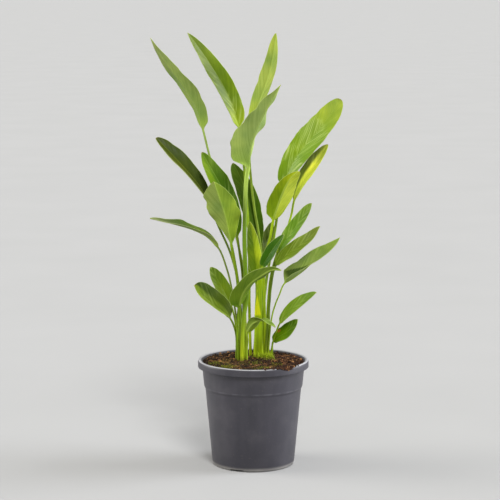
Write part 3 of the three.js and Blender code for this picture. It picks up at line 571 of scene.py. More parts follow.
# %% The leaves, one by one
LEAVES = {
    "leaf_tall_left": dict(
        slot="leaf_pale",
        path=((-12, 9, 186), (-13, 10, 231), (-15, 12, 283), (-17, 18, 330),
              (-25, 28, 372), (-38, 40, 418), (-58, 52, 468), (-75, 60, 525),
              (-86, 64, 569), (-97, 66, 609), (-121, 66, 648), (-148, 62, 684),
              (-165, 56, 709), (-175, 50, 729)),
        neck=8, half=16, widest=0.3, fullness=1.35, ragged=1.5,
        face=((0.6, 0.8, 0.3), (0.5, 0.85, 0.2)),
        fold=(24, 12), stalk=(2.4, 2), wave=(1.2, 2.5), ridge=0.4),
    "leaf_tall_mid_left": dict(
        slot="leaf_green",
        path=((-5, 33, 184), (-6, 34, 226), (-7, 36, 279), (-7, 38, 331), (-8, 40, 392),
              (-12, 42, 461), (-17, 44, 521), (-24, 42, 574), (-32, 38, 608),
              (-48, 30, 644), (-71, 20, 683), (-92, 10, 715), (-110, 0, 739)),
        neck=7, half=18, widest=0.37, face=((0.4, -0.85, 0.2), (0.3, -0.9, 0.2)),
        fold=(25, 12), stalk=(2.7, 2.3), wave=(1, 2.5)),
    "leaf_tall_centre": dict(
        slot="leaf_lime",
        path=((9, 39, 186), (12, 40, 243), (16, 42, 295), (15, 44, 344), (9, 48, 394),
              (2, 52, 435), (-3, 55, 477), (-7, 60, 528), (-5, 66, 578), (6, 76, 610),
              (19, 90, 643), (31, 103.6, 682), (39, 117.4, 735)),
        neck=8, half=17, widest=0.45, face=((-0.7, 0.7, 0.1), (-0.6, 0.75, 0)),
        fold=(14, 8), stalk=(2.8, 2.3), wave=(0.6, 2)),
    "leaf_front_centre": dict(
        slot="leaf_pale",
        path=((-19, -6, 180), (-19, -6, 216), (-16, -7, 258), (-11, -8, 295),
              (-13, -10, 328), (-15, -14, 390), (-14, -17, 440), (-12, -20, 491),
              (-9, -22, 513), (-4, -24, 554), (6, -28, 581), (21, -34, 612),
              (34, -42, 636), (45, -50, 655)),
        neck=8, half=28, widest=0.34, fullness=1.45, lean=-0.08, uneven=0.04, ragged=3,
        face=((-0.62, 0.72, 0.3), (-0.6, 0.75, 0.3)),
        fold=(34, 30), stalk=(4.2, 3.8), wave=(3.6, 3), ridge=0.7,
        lobes=((1, 0.24, 0.1, 0.06), (1, 0.43, 0.07, -0.16), (-1, 0.08, 0.15, -0.7),
               (-1, 0.42, 0.08, 0.14), (-1, 0.6, 0.08, -0.12))),
    "leaf_broad_right": dict(
        slot="leaf_green",
        path=((13, 46, 187), (17, 47, 233), (19, 48, 277), (24, 50, 320), (32, 52, 364),
              (39, 55, 407), (44, 57, 442), (50, 58, 469), (62, 60, 502), (82, 64, 535),
              (112, 70, 570), (137, 78, 602), (150, 84, 623)),
        neck=7, half=26, widest=0.54, fullness=0.95, face=((-0.5, -0.8, 0.3), (-0.4, -0.8, 0.4)),
        fold=(16, 8), stalk=(2.8, 2.4), wave=(0.8, 2)),
    "leaf_folded_right": dict(
        slot="leaf_lime",
        path=((22, 45, 189), (24, 46, 233), (26, 46, 277), (31, 46, 321), (42, 47, 361),
              (56, 48, 394), (66, 49, 427), (70, 49, 449), (78, 50, 469), (89, 54, 488),
              (103, 60, 507), (115, 68, 524), (129, 74, 545)),
        neck=7, half=16, widest=0.5, face=((-0.3, -0.8, 0.4), (-0.3, -0.8, 0.4)),
        fold=(46, 36), stalk=(2.4, 1.9), wave=(0.5, 1.5)),
    "leaf_gold_right": dict(
        slot="leaf_lime",
        path=((19, 37, 185), (20, 36, 235), (19, 34, 279), (18, 31, 323), (22, 27, 362),
              (29, 23, 389), (34, 18, 419), (43, 10, 449), (52, 0, 474), (63, -10, 495),
              (76, -16, 508)),
        neck=6, half=21, widest=0.43, fullness=1.1, lean=-0.15, uneven=-0.1,
        face=((0.1, 0.85, 0.5), (-0.2, 0.85, 0.5)),
        fold=(20, 25), stalk=(2.6, 2.4), wave=(0.6, 2)),
    "leaf_glossy_right": dict(
        slot="leaf_dark",
        path=((26, 39, 186), (27, 38, 234), (28, 37, 279), (32, 34, 323), (44, 30, 363),
              (58, 26, 389), (73, 21, 410), (87, 16, 431), (99, 11, 450)),
        neck=4, half=13.5, widest=0.5, face=((-0.5, -0.75, 0.4), (-0.4, -0.75, 0.5)),
        fold=(18, 10), stalk=(2.2, 1.8), wave=(0.8, 2)),
    "leaf_sheath": dict(
        slot="leaf_lime",
        path=((9, 27, 182), (9, 27, 228), (9, 26, 272), (11, 24, 307), (15, 21, 337),
              (25, 16, 358), (38, 10, 378), (52, 4, 397)),
        neck=4, half=11, widest=0.45, face=((-0.2, -0.9, 0.3), (-0.4, -0.75, 0.5)),
        fold=(20, 12), stalk=(9, 2.4), taper=0.5, flatness=0.5, wave=(0.5, 1.5)),
    "leaf_olive_right": dict(
        slot="leaf_green",
        path=((21, 31, 183), (25, 30, 236), (28, 28, 275), (31, 24, 307), (38, 17, 341),
              (52, 8, 358), (74, -2, 376), (96, -13, 395), (112, -24, 415)),
        neck=4, half=14.5, widest=0.4, face=((-0.35, -0.7, 0.6), (-0.3, -0.7, 0.6)),
        fold=(18, 12), stalk=(2.2, 1.8), wave=(0.8, 2)),
    "leaf_boat_right": dict(
        slot="leaf_pale",
        path=((26, 31, 184), (29, 31, 227), (33, 30, 255), (39, 29, 275), (45, 27, 290),
              (53, 24, 309), (69, 20, 321), (87, 12, 336), (106, 4, 355), (127, -8, 375),
              (146, -18, 395)),
        neck=5, half=20, widest=0.32, lean=0.12, uneven=-0.2,
        face=((-0.5, -0.15, 0.85), (-0.45, -0.75, 0.5)),
        fold=(50, 8), stalk=(1.9, 1.7), wave=(0.6, 1.5)),
    "leaf_cupped_left": dict(
        slot="leaf_dark",
        path=((-28, 1, 185), (-28, 0, 206), (-31, -4, 233), (-39, -10, 254),
              (-53, -18, 269), (-73, -27, 286), (-88, -34, 302), (-99, -40, 317)),
        neck=3, half=24, widest=0.6, fullness=0.85, lean=-0.08,
        face=((0.5, -0.55, 0.65), (0.5, -0.55, 0.65)),
        fold=(38, 25), stalk=(2, 1.8), wave=(0.8, 1.5)),
    "leaf_small_left": dict(
        slot="leaf_green",
        path=((-29, 7, 188), (-29, 7, 214), (-31, 6, 245), (-37, 4, 272), (-49, 2, 298),
              (-62, -1, 322), (-73, -4, 342)),
        neck=3, half=14.5, widest=0.5, face=((0.4, -0.8, 0.3), (0.4, -0.8, 0.3)),
        fold=(15, 10), stalk=(1.9, 1.6), wave=(0.5, 1.5)),
    "leaf_arching_left": dict(
        slot="leaf_pale",
        path=((-24, 9, 187), (-25, 10, 222), (-31, 12, 265), (-38, 14, 308),
              (-45, 14, 336), (-58, 12, 371), (-76, 8, 393), (-99, 2, 406),
              (-128, -6, 416), (-153, -14, 423), (-174, -22, 429)),
        neck=5, half=10.5, widest=0.4, face=((0.6, 0.1, 0.8), (0.2, -0.45, 0.85)),
        fold=(32, 15), stalk=(2.4, 2.1), wave=(1, 1.5),
        lobes=((1, 0.6, 0.09, 0.4), (1, 0.8, 0.08, -0.2))),
    "leaf_crossing_front": dict(
        slot="leaf_green",
        path=((-26, -6, 181), (-27, -8, 216), (-27, -14, 249), (-25, -23, 274),
              (-19, -35, 300), (-6, -45, 320), (13, -51, 335), (31, -53, 345),
              (47, -53, 345)),
        neck=3, half=20, widest=0.32, face=((-0.5, 0.5, 0.65), (-0.1, 0.7, 0.7)),
        fold=(22, 20), stalk=(2, 2), wave=(1, 2)),
    "leaf_upper_left": dict(
        slot="leaf_dark",
        path=((-18, 10, 189), (-19, 11, 231), (-22, 15, 273), (-27, 22, 316),
              (-40, 32, 363), (-61, 42, 409), (-76, 50, 446), (-89, 54, 470),
              (-108, 58, 494), (-131, 62, 519), (-151, 66, 540), (-168, 70, 557)),
        neck=6, half=18, widest=0.55, face=((0.35, -0.6, 0.7), (0.35, -0.6, 0.7)),
        fold=(34, 22), stalk=(2.3, 1.9), wave=(0.8, 2)),
    "leaf_glossy_left": dict(
        slot="leaf_dark",
        path=((-15, 2, 183), (-16, 2, 223), (-17, 4, 275), (-19, 8, 332), (-23, 11, 361),
              (-27, 15, 390), (-35, 20, 430), (-51, 27, 470), (-70, 34, 504),
              (-88, 38, 535)),
        neck=5, half=18, widest=0.5, face=((0.3, -0.9, 0.2), (0.3, -0.9, 0.2)),
        fold=(14, 12), stalk=(2.4, 2), wave=(0.6, 2)),
    "leaf_pale_front": dict(
        slot="leaf_pale",
        path=((-21, 2, 185), (-22, 1, 224), (-24, -1, 276), (-27, -4, 320),
              (-32, -7, 352), (-37, -11, 380), (-42, -16, 404), (-49, -23, 436),
              (-58, -30, 465), (-66, -36, 492)),
        neck=5, half=26, widest=0.6, fullness=2, lean=0.08, ragged=1.6,
        face=((-0.1, 0.95, 0.2), (-0.1, 0.95, 0.2)),
        fold=(12, 6), stalk=(2.9, 2.6), wave=(2.2, 3), ridge=0.6,
        lobes=((1, 0.73, 0.05, -0.12), (1, 0.85, 0.06, 0.1), (1, 0.3, 0.15, -0.1))),
    "leaf_dark_back": dict(
        slot="leaf_dark",
        path=((2, 47, 188), (5, 48, 232), (7, 50, 276), (9, 53, 320), (6, 56, 363),
              (2, 60, 401), (-6, 65, 441), (-15, 69, 472), (-26, 72, 496),
              (-35, 74, 513)),
        neck=4, half=18, widest=0.5, lean=-0.1, face=((0.2, -0.95, 0), (0.2, -0.95, 0)),
        fold=(14, 10), stalk=(2.3, 1.9), wave=(0.5, 1.5)),
    "leaf_young_lime": dict(
        slot="leaf_lime",
        path=((4, 36, 185), (5, 36, 226), (6, 35, 270), (6, 34, 305), (6, 33, 332),
              (3, 31, 360), (-1, 30, 388), (-6, 30, 416)),
        neck=3, half=14, widest=0.45, face=((-0.2, -0.95, 0.2), (-0.2, -0.95, 0.2)),
        fold=(32, 25), stalk=(2.6, 2.4), wave=(0, 1)),
    "leaf_low_right": dict(
        slot="leaf_green",
        path=((31, 32, 183), (33, 32, 200), (38, 30, 218), (45, 26, 238), (56, 20, 255),
              (72, 12, 272), (89, 2, 286), (107, -10, 300)),
        neck=3, half=13.5, widest=0.45, face=((-0.4, -0.6, 0.7), (-0.4, -0.6, 0.7)),
        fold=(16, 10), stalk=(1.8, 1.6), wave=(0.4, 1.5)),
    "leaf_dark_low_right": dict(
        slot="leaf_dark",
        path=((33, 40, 186), (33, 40, 197), (34, 38, 204), (43, 33, 214), (58, 25, 225),
              (68, 18, 236), (76, 10, 249)),
        neck=2, half=14, widest=0.45, face=((-0.3, -0.75, 0.6), (-0.3, -0.75, 0.6)),
        fold=(18, 10), stalk=(1.8, 1.6), wave=(0.6, 1.5)),
    "leaf_twisted_front": dict(
        slot="leaf_pale",
        path=((-11, -7, 180), (-11, -9, 199), (-10, -12, 216), (-10, -17, 231),
              (0, -25, 249), (15, -31, 256), (27, -35, 251), (38, -38, 245)),
        neck=3, half=10, widest=0.4, face=((0.4, 0.8, 0.4), (0.2, -0.5, 0.85)),
        fold=(25, 15), stalk=(2, 1.8), wave=(0.4, 1)),
    "leaf_olive_back": dict(
        slot="leaf_green",
        path=((11, 54, 192), (13, 55, 240), (14, 58, 284), (15, 62, 331), (19, 68, 358),
              (26, 78, 383), (33, 88, 408)),
        neck=3, half=12, widest=0.5, face=((-0.3, -0.9, 0.3), (-0.3, -0.9, 0.3)),
        fold=(15, 10), stalk=(2.2, 1.8), wave=(0.4, 1.5)),
}
longest = max(len(shape["path"]) for shape in LEAVES.values())
print(len(LEAVES), "leaves, the longest through", longest, "points")

# %% [markdown]
# ## The leaves' colours
#
# The upper side is a full green under a thin wax, the lower side a paler grey-green, and the
# stalk a light yellow-green that is palest at the soil. Young leaves are yellower. One half of a
# blade often differs from the other, partly in its own colour and partly as painted light and
# shade, where a half is lit from behind or lies in the shade of its fold or of another leaf.
# These broad changes follow the leaf's own shape, so they are worked out here for each point, as
# one colour attribute. The material then only adds what is finer than the mesh.
#
# - over, under: the two sides; left, right: one half of the blade, seen from above, in its own
#   colour with painted light and shade
# - stem: the stalk; heart: the blade near its base; end: the blade near its tip
# - margin: a margin that turns over and shows its lower side; turned: from where to where
#   across the blade it fades in
# - crease_shade: painted shade on the upper side, where it shows inside a crease;
#   crease_shade_span: the shares of the length where it starts and ends, where across the blade
#   it lies at each, and half its width
# - split: where across the blade its halves meet, from -1 to 1, unless that is the midrib
# - neck: the stalk just under the blade; sunlit: the middle, foot, top and half width in mm of
#   a bright yellow tongue on a stalk; spot: where a dried spot lies along and across a blade
# - wax_and_sheen: how much of the pale wax still lies on the upper side, partly as a painted
#   sheen; rib: how pale the midrib is

# %% Colours for each leaf
SHADES = {
    "leaf_green": dict(over=(108, 138, 14), under=(134, 156, 62), stem=(132, 158, 26),
                       heart=(150, 176, 44), wax_and_sheen=0.35),
    "leaf_dark": dict(over=(62, 92, 2), under=(100, 126, 40), stem=(104, 126, 18),
                      heart=(88, 120, 8), wax_and_sheen=0.25),
    "leaf_pale": dict(over=(112, 138, 30), under=(142, 160, 78), stem=(142, 168, 36),
                      heart=(140, 172, 40), wax_and_sheen=0.3),
    "leaf_lime": dict(over=(150, 174, 18), under=(168, 190, 46), stem=(156, 182, 26),
                      heart=(178, 198, 38), wax_and_sheen=0.3),
}
OWN = {
    "leaf_tall_left": dict(under=(142, 162, 82), end=(142, 152, 94), stem=(138, 160, 72),
                           rib=0.15),
    "leaf_tall_mid_left": dict(over=(94, 118, 6), left=(84, 102, 0), right=(102, 128, 10),
                               heart=(190, 212, 46), end=(126, 142, 58), wax_and_sheen=0.7),
    "leaf_tall_centre": dict(over=(136, 150, 60), under=(136, 150, 58), end=(130, 148, 38),
                             stem=(124, 146, 44), wax_and_sheen=0.5),
    "leaf_front_centre": dict(left=(154, 174, 102), right=(136, 156, 84), end=(172, 190, 94),
                              stem=(98, 128, 20), neck=(176, 202, 88), rib=0.4),
    "leaf_broad_right": dict(over=(122, 150, 22), left=(126, 156, 4), right=(108, 144, 28),
                             heart=(96, 132, 0), end=(166, 180, 60), wax_and_sheen=1.2),
    # leaf_folded_right: its inner half is painted dark as the shade of leaf_broad_right, its outer
    # half bright as painted light.
    "leaf_folded_right": dict(left=(28, 46, 0), right=(232, 236, 84), end=(158, 164, 60),
                              heart=(160, 180, 60), split=-0.35),
    "leaf_gold_right": dict(left=(206, 214, 76), right=(112, 138, 0), under=(132, 158, 2),
                            over=(132, 158, 2), end=(186, 200, 28), heart=(140, 166, 14),
                            wax_and_sheen=0.1),
    "leaf_glossy_right": dict(over=(98, 138, 30), end=(122, 150, 56), heart=(104, 146, 34),
                              wax_and_sheen=0.9),
    "leaf_sheath": dict(over=(56, 102, 0), heart=(62, 108, 0), stem=(138, 164, 14),
                        end=(62, 102, 0), under=(60, 104, 2), wax_and_sheen=0.0,
                        sunlit=(7, 252, 291, 7.5)),
    "leaf_olive_right": dict(over=(92, 116, 4), end=(112, 126, 36), stem=(104, 126, 38)),
    # leaf_boat_right: painted shade inside the fold at its base.
    "leaf_boat_right": dict(over=(150, 172, 82), heart=(142, 164, 80), under=(142, 166, 90),
                            end=(134, 162, 48), crease_shade=(50, 78, 4),
                            crease_shade_span=(0.04, 0.52, -0.6, 0.3, 0.34)),
    # leaf_cupped_left: one half is painted dark as the shade inside its cup.
    "leaf_cupped_left": dict(over=(52, 72, 0), left=(118, 140, 36), right=(44, 66, 0), split=0.3,
                             heart=(112, 132, 36), wax_and_sheen=0.5),
    "leaf_small_left": dict(over=(104, 128, 18), heart=(110, 134, 26)),
    "leaf_arching_left": dict(left=(126, 134, 92), right=(80, 98, 20), under=(112, 122, 76),
                              stem=(112, 128, 50), end=(106, 110, 76), split=0.1, wax_and_sheen=0.5),
    "leaf_crossing_front": dict(over=(98, 126, 22), under=(104, 130, 32), heart=(96, 128, 6),
                                stem=(110, 138, 22), end=(98, 120, 48)),
    "leaf_upper_left": dict(over=(54, 70, 0), left=(78, 86, 14), right=(60, 76, 0),
                            end=(56, 68, 0), heart=(70, 78, 12), wax_and_sheen=0.0,
                            margin=(132, 140, 84), turned=(-0.78, -0.9)),
    "leaf_glossy_left": dict(over=(66, 102, 0), left=(108, 138, 20), right=(62, 100, 0),
                             end=(98, 128, 22), split=-0.3, wax_and_sheen=0.3),
    "leaf_pale_front": dict(left=(124, 150, 40), right=(138, 156, 76), under=(134, 154, 60),
                            heart=(118, 152, 0), stem=(128, 156, 24), rib=0.5),
    "leaf_dark_back": dict(over=(74, 104, 6), heart=(80, 110, 2), end=(82, 108, 28), wax_and_sheen=0.1),
    "leaf_young_lime": dict(left=(84, 114, 0), right=(216, 234, 50), stem=(160, 186, 14),
                            end=(94, 120, 0), rib=0.3),
    "leaf_low_right": dict(over=(114, 148, 12)),
    "leaf_dark_low_right": dict(over=(100, 134, 4), heart=(96, 128, 8), spot=(0.3, -0.7)),
    "leaf_twisted_front": dict(over=(116, 140, 44), under=(116, 140, 46), heart=(112, 134, 30)),
    "leaf_olive_back": dict(over=(68, 88, 0)),
}
FOOT = paint(168, 184, 20)  # the stalk where it leaves the soil
DRY = paint(122, 92, 44)  # a tip that has dried
SPOT, SUNLIT, SOILED = paint(176, 98, 30), paint(232, 234, 26), paint(92, 84, 34)
SOIL_LINE = 181  # mm, about where the stalks come out of the soil
print("a full green upper side is", SHADES["leaf_green"]["over"], "on a screen")

# %% [markdown]
# The colours are laid over each other from the broad to the small. Each blend says in its last
# term how far it covers what lies below, and few of them cover it wholly.

# %% How a leaf is coloured


def blade_tint(shades, tones, numbers, points, seed):
    """Under or over, then the two halves with their painted light and shade, the base as
    e^(-distance / 30 mm), a turned margin, the half towards the tip, the painted shade inside a
    crease, patches of 15 to 30 mm, a dry tip, and a dry spot."""
    across, tip = numbers["across"][..., None], numbers["tip"][..., None]
    green = mix(tones["under"], tones["over"], numbers["upper"][..., None])
    # The halves: their own colour with painted light and shade, a half lit from behind or lying in the
    # shade of its fold or of another leaf.
    if "left" in tones:
        split = shades.get("split", 0)
        halves = mix(tones["left"], tones["right"], step(split - 0.12, split + 0.12, across))
        green = mix(green, halves, 0.9)
    green = mix(green, tones["heart"], 0.75 * np.exp(-numbers["along"] / 30)[..., None])
    if "margin" in tones:
        green = mix(green, tones["margin"], 0.8 * step(*shades["turned"], across))
    if "end" in tones:
        green = mix(green, tones["end"], 0.7 * step(0.5, 1, tip))
    # Painted shade inside a crease, where the fold hides the pale side.
    if "crease_shade" in tones:
        first, last, here, there, half = shades["crease_shade_span"]
        t = np.clip((tip - first) / (last - first), 0, 1)
        inside = 1 - step(0.75 * half, half, np.abs(across - mix(here, there, t)) + 0.5 * half * t)
        green = mix(green, tones["crease_shade"], 0.9 * inside * step(0, 0.15, t) * (1 - step(0.8, 1, t)))
    patches = rough(points, 30, seed)[..., None]
    green = green * (1 + 0.2 * patches + np.array([0.1, 0, 0]) * patches)
    green = mix(green, DRY, 0.5 * step(0.975, 1, tip))
    if "spot" in shades:
        far = np.hypot((tip - shades["spot"][0]) * 3, across - shades["spot"][1])
        green = mix(green, SPOT, 0.85 * (1 - step(0.12, 0.2, far)))
    return green


def stalk_tint(shades, tones, numbers, points, seed):
    """Palest at the foot, ribbed by noise that is stretched upwards, with a sunlit tongue that
    narrows as it rises, and brown from the soil on its lowest few mm."""
    stalk = mix(FOOT, tones["stem"], step(0, 0.4, numbers["stem"])[..., None])
    if "neck" in tones:
        stalk = mix(stalk, tones["neck"], step(0.7, 1, numbers["stem"])[..., None])
    ribbed = noise(points * (1, 1, 0.03), 2.2, seed + 9) + noise(points * (1, 1, 0.2), 9, seed)
    stalk = stalk * (1 + 0.26 * ribbed[..., None])
    if "sunlit" in shades:
        middle, low, high, width = shades["sunlit"]
        height = (points[..., 2:3] - low) / (high - low)
        spread = width * np.clip(1 - height, 0, 1) + 0.1
        lit = step(0, 0.1, height) * (1 - step(0.6, 1.1, np.abs(points[..., :1] - middle) / spread))
        stalk = mix(stalk, SUNLIT, 0.85 * lit)
    above = points[..., 2:3] - SOIL_LINE - 2 * noise(points, 4, seed + 2)[..., None]
    return mix(SOILED, stalk, 0.25 + 0.75 * step(-1, 6, above))


def leaf_tint(name, shape, numbers, points, seed):
    """The stalk's colour, and the blade's where the section is a blade's."""
    shades = SHADES[shape["slot"]] | OWN[name]
    tones = {key: paint(*tone) for key, tone in shades.items() if np.shape(tone) == (3,)}
    stalk = stalk_tint(shades, tones, numbers, points, seed)
    return mix(stalk, blade_tint(shades, tones, numbers, points, seed), numbers["blade"][..., None])


print(len(SHADES), "palettes, changed for", len(OWN), "leaves")

# %% [markdown]
# ## What a leaf's surface shows close by
#
# Fine side veins run close together from the midrib to the margin, and the light runs in
# streaks between them. The darker streaks are also painted into the colour, as painted shade.
# The midrib is a paler line, the margin a thin light edge, and the wax leaves whitish streaks
# where it hasn't been rubbed off, partly real wax and partly a painted sheen. All that could be
# an image, but then it would have to be drawn for each leaf. The mesh already knows how far
# each point is from the midrib, from the margin and along the veins, so a sine of that number
# draws the veins, and noise that is stretched along them draws the streaks.

# %% The leaf material
RIB_COLOUR, EDGE_COLOUR = paint(160, 182, 78), paint(186, 200, 112)
WAX_AND_SHEEN_COLOUR = paint(198, 214, 126)
VEINS_APART = 2.6  # mm
SHADED, STREAKED, RIBBED = (0.5, 0.56, 0.36), (0.56, 0.66, 0.36), (0.55, 0.62, 0.35)
WORN = (0.62, 0.7, 0.45)


def leaf_material(name, gloss, shine):
    """Fine veins as a sine of the vein number, and streaks 3 to 6 mm wide as noise that changes
    ten times slower along a vein than from one to the next: the dark ones painted shade, the pale
    ones partly real wax and partly a painted sheen. On the stalk, fine upright ribs."""
    g = Graph(name)
    tint, upper, blade = g.colour("tint"), g.number("upper"), g.number("blade")
    rib, rim, vein = g.number("rib"), g.number("rim"), g.number("vein")
    wax_and_sheen = g.number("wax_and_sheen")
    along_vein = g.node("CombineXYZ", {}, {"X": vein * 0.3, "Y": rib * 0.03, "Z": wax_and_sheen})
    streak = g.speckle(1, 3, along_vein)
    fine = (vein * (2 * math.pi / VEINS_APART)).math("SINE") * 0.5 + 0.5
    grain, patch = g.speckle(900, 3), g.speckle(70, 4)
    rib_lines = g.speckle(1100, 2, g.place((1, 1, 0.02)))
    colour = g.mix(fine * blade * 0.14, tint, SHADED, "MULTIPLY")
    # Painted shade: the streaks between the streaks of light are darkened.
    colour = g.mix((1 - streak.step(0.3, 0.6)) * blade * 0.6, colour, STREAKED, "MULTIPLY")
    stalk_dark = (1 - rib_lines.step(0.35, 0.6)) * (1 - blade)
    colour = g.mix(stalk_dark * 0.5, colour, RIBBED, "MULTIPLY")
    colour = g.mix(patch.step(0.5, 0.8) * 0.2, colour, WORN, "MULTIPLY")
    # Pale wax streaks, partly real wax and partly a painted sheen.
    wax_and_sheen_mask = (streak.step(0.42, 0.85) * 0.8 + 0.04) * wax_and_sheen * blade
    colour = g.mix(wax_and_sheen_mask, colour, WAX_AND_SHEEN_COLOUR)
    under_rib = (1 - rib.step(0.9, 1.9)) * (1 - upper) * 0.5
    upper_rib = (1 - rib.step(0.3, 0.9)) * upper * 0.18
    colour = g.mix((under_rib + upper_rib) * blade * g.number("pale_rib"), colour, RIB_COLOUR)
    colour = g.mix((1 - rim.step(0.2, 0.8)) * blade * 0.55, colour, EDGE_COLOUR)
    roughness = 0.56 - gloss * upper + grain * 0.1 + wax_and_sheen_mask * 0.1
    height = (streak * 0.7 + fine * 0.2) * blade + grain * 0.1 + rib_lines * (1 - blade) * 0.5
    return g.finish(height, 0.0004, Base_Color=colour, Roughness=roughness,
                    Specular_IOR_Level=shine, Coat_Weight=upper * shine * 0.6,
                    Coat_Roughness=0.24)


GLOSS_AND_SHINE = {"leaf_green": (0.2, 0.14), "leaf_dark": (0.22, 0.08),
                   "leaf_pale": (0.12, 0.2), "leaf_lime": (0.16, 0.14)}
leaf_finishes = {name: leaf_material(name, *look) for name, look in GLOSS_AND_SHINE.items()}
print("leaf materials:", ", ".join(leaf_finishes))

# %% [markdown]
# ## Making the leaves
#
# Each leaf is its rings of points joined to a skin, and closed by one face at the root end and
# one at the tip.

# %% The leaves
faces_in_leaves = 0
for count, (name, shape) in enumerate(LEAVES.items()):
    seed = 100 + 17 * count
    points, numbers = leaf_grid(shape, seed)
    numbers["tint"] = leaf_tint(name, shape, numbers, points, seed)
    numbers["pale_rib"] = OWN[name].get("rib", 1) * numbers["blade"]
    # How much wax lies on the upper side, with a painted sheen in it.
    wax_and_sheen_share = (SHADES[shape["slot"]] | OWN[name])["wax_and_sheen"]
    numbers["wax_and_sheen"] = wax_and_sheen_share * numbers["upper"] * step(-0.3, 0.7, rough(points, 36, seed + 5))
    faces = tube_faces(*points.shape[:2])
    made = piece(name + "_skin", points * MM, faces, leaf_finishes[shape["slot"]], numbers)
    stand_for(made, name)
    faces_in_leaves += len(faces)
print(len(LEAVES), "leaves with", faces_in_leaves, "faces")

# %% [markdown]
# ## The pot
#
# A nursery pot is moulded of thin plastic: a rolled rim with a skirt, a collar that steps in to
# a tapered body, a rounded bottom corner, and a foot ring with notches that let water out.
# Nearly all of it is round, so it is one profile turned about the upright axis. A stack of
# cylinders would leave hard seams; here the profile's corners are rounded first, as they come
# out of a mould, and the notches lift the foot ring's points where they pass.

# %% The pot's profile
RIM_RADIUS, RIM_TOP, RIM_DEPTH, RIM_SKIRT, ROLL = 95, 182, 12.5, 1.8, 3
COLLAR_RADIUS, COLLAR_FLARE, COLLAR_FOOT_RADIUS, COLLAR_FOOT = 87.8, 0.6, 84.6, 137
STEP_DROP, BODY_RADIUS, BASE_RADIUS, CORNER_HEIGHT = 5, 82.3, 71, 8
WALL, FLOOR_TOP, FLOOR_UNDER, PAD_RADIUS = 1.7, 6, 3.5, 32
FOOT_INNER_RADIUS, FOOT_OUTER_RADIUS = 58, 68
POT_SIDES = 360
CORNER_CUT, PROFILE_STEP = 1.1, 4  # mm


def rounded(corners, cut, steps=6):
    """Each corner P becomes the curve (1 - t)^2 A + 2 t (1 - t) P + t^2 B, where A and B lie
    on its two lines, at most cut away from it and never past their middles."""
    corners = np.array(corners, float)
    before, at, after = corners[:-2], corners[1:-1], corners[2:]

    def toward(other):
        gap = np.linalg.norm(other - at, axis=1, keepdims=True)
        return at + (other - at) / gap * np.minimum(cut, gap * 0.48)

    a, b = toward(before)[:, None], toward(after)[:, None]
    t = np.linspace(0, 1, steps)[None, :, None]
    curve = (1 - t) ** 2 * a + 2 * t * (1 - t) * at[:, None] + t**2 * b
    return np.vstack([corners[:1], curve.reshape(-1, 2), corners[-1:]])


def filled(profile, longest):
    """The same profile, with points added wherever two lie further apart than longest."""
    gaps = np.linalg.norm(np.diff(profile, axis=0), axis=1)
    length = np.concatenate([[0], np.cumsum(gaps)])
    at = np.unique(np.concatenate([length, np.arange(0, length[-1], longest)]))
    at = at[np.concatenate([[True], np.diff(at) > 0.05])]  # mm, or they would almost meet
    return np.stack([np.interp(at, length, profile[:, k]) for k in range(2)], axis=-1)


skirt_foot = RIM_TOP - RIM_DEPTH
skirt_inner = RIM_RADIUS - RIM_SKIRT
mouth = COLLAR_RADIUS + COLLAR_FLARE
pot_corners = [
    (0, 0), (PAD_RADIUS, 0), (PAD_RADIUS + 1, FLOOR_UNDER),
    (FOOT_INNER_RADIUS - 1, FLOOR_UNDER), (FOOT_INNER_RADIUS, 0), (FOOT_OUTER_RADIUS, 0),
    (FOOT_OUTER_RADIUS + 2, 2), (BASE_RADIUS, CORNER_HEIGHT),
    (BODY_RADIUS, COLLAR_FOOT - STEP_DROP), (COLLAR_FOOT_RADIUS, COLLAR_FOOT),
    (COLLAR_RADIUS, skirt_foot), (mouth, RIM_TOP - ROLL), (skirt_inner, RIM_TOP - ROLL),
    (skirt_inner, skirt_foot), (RIM_RADIUS, skirt_foot), (RIM_RADIUS, RIM_TOP - ROLL),
    (RIM_RADIUS - 1, RIM_TOP), (RIM_RADIUS - 4, RIM_TOP), (mouth - WALL, RIM_TOP - ROLL),
    (COLLAR_RADIUS - WALL, skirt_foot), (COLLAR_FOOT_RADIUS - WALL, COLLAR_FOOT + 1),
    (BODY_RADIUS - WALL, COLLAR_FOOT - STEP_DROP), (BASE_RADIUS - WALL, CORNER_HEIGHT + 3),
    (BASE_RADIUS - WALL - 2, FLOOR_TOP), (0, FLOOR_TOP),
]
pot_profile = filled(rounded(pot_corners, CORNER_CUT), PROFILE_STEP)
print("the pot's profile has", len(pot_profile), "points")

# %% [markdown]
# The profile is turned in 1 degree steps. At both poles its points lie on each other, so they are
# joined there. The notches aren't cut: they only lift those points of the foot ring that lie in
# their way, which keeps the mesh in one even grid.

# %% The pot's surface
NOTCHES, NOTCH_WIDTH, NOTCH_HEIGHT = 4, 24, 3
NOTCH_EDGE = 0.4  # mm to each side of a notch's edge, over which it rises
FIRST_NOTCH = -114  # degrees: the one at the front left, which the photo shows


def round_the_axis(radius, angle):
    """x = r cos a and y = r sin a, as the last axis of one array."""
    return np.stack([radius * np.cos(angle), radius * np.sin(angle)], axis=-1)


def turned(profile, sides):
    """Each (radius, height) of the profile, carried round the axis."""
    angle = np.arange(sides) * 2 * np.pi / sides
    flat = round_the_axis(profile[:, :1], angle)
    return np.concatenate([flat, profile[:, 1:, None] + 0 * flat[..., :1]], axis=-1)


def weld(made, distance=1e-6):
    """Joins points that lie on each other, such as a turned piece's poles."""
    work = bmesh.new()
    work.from_mesh(made.data)
    bmesh.ops.remove_doubles(work, verts=work.verts, dist=distance)
    bmesh.ops.dissolve_degenerate(work, edges=work.edges, dist=distance)
    work.to_mesh(made.data)
    work.free()
    return made


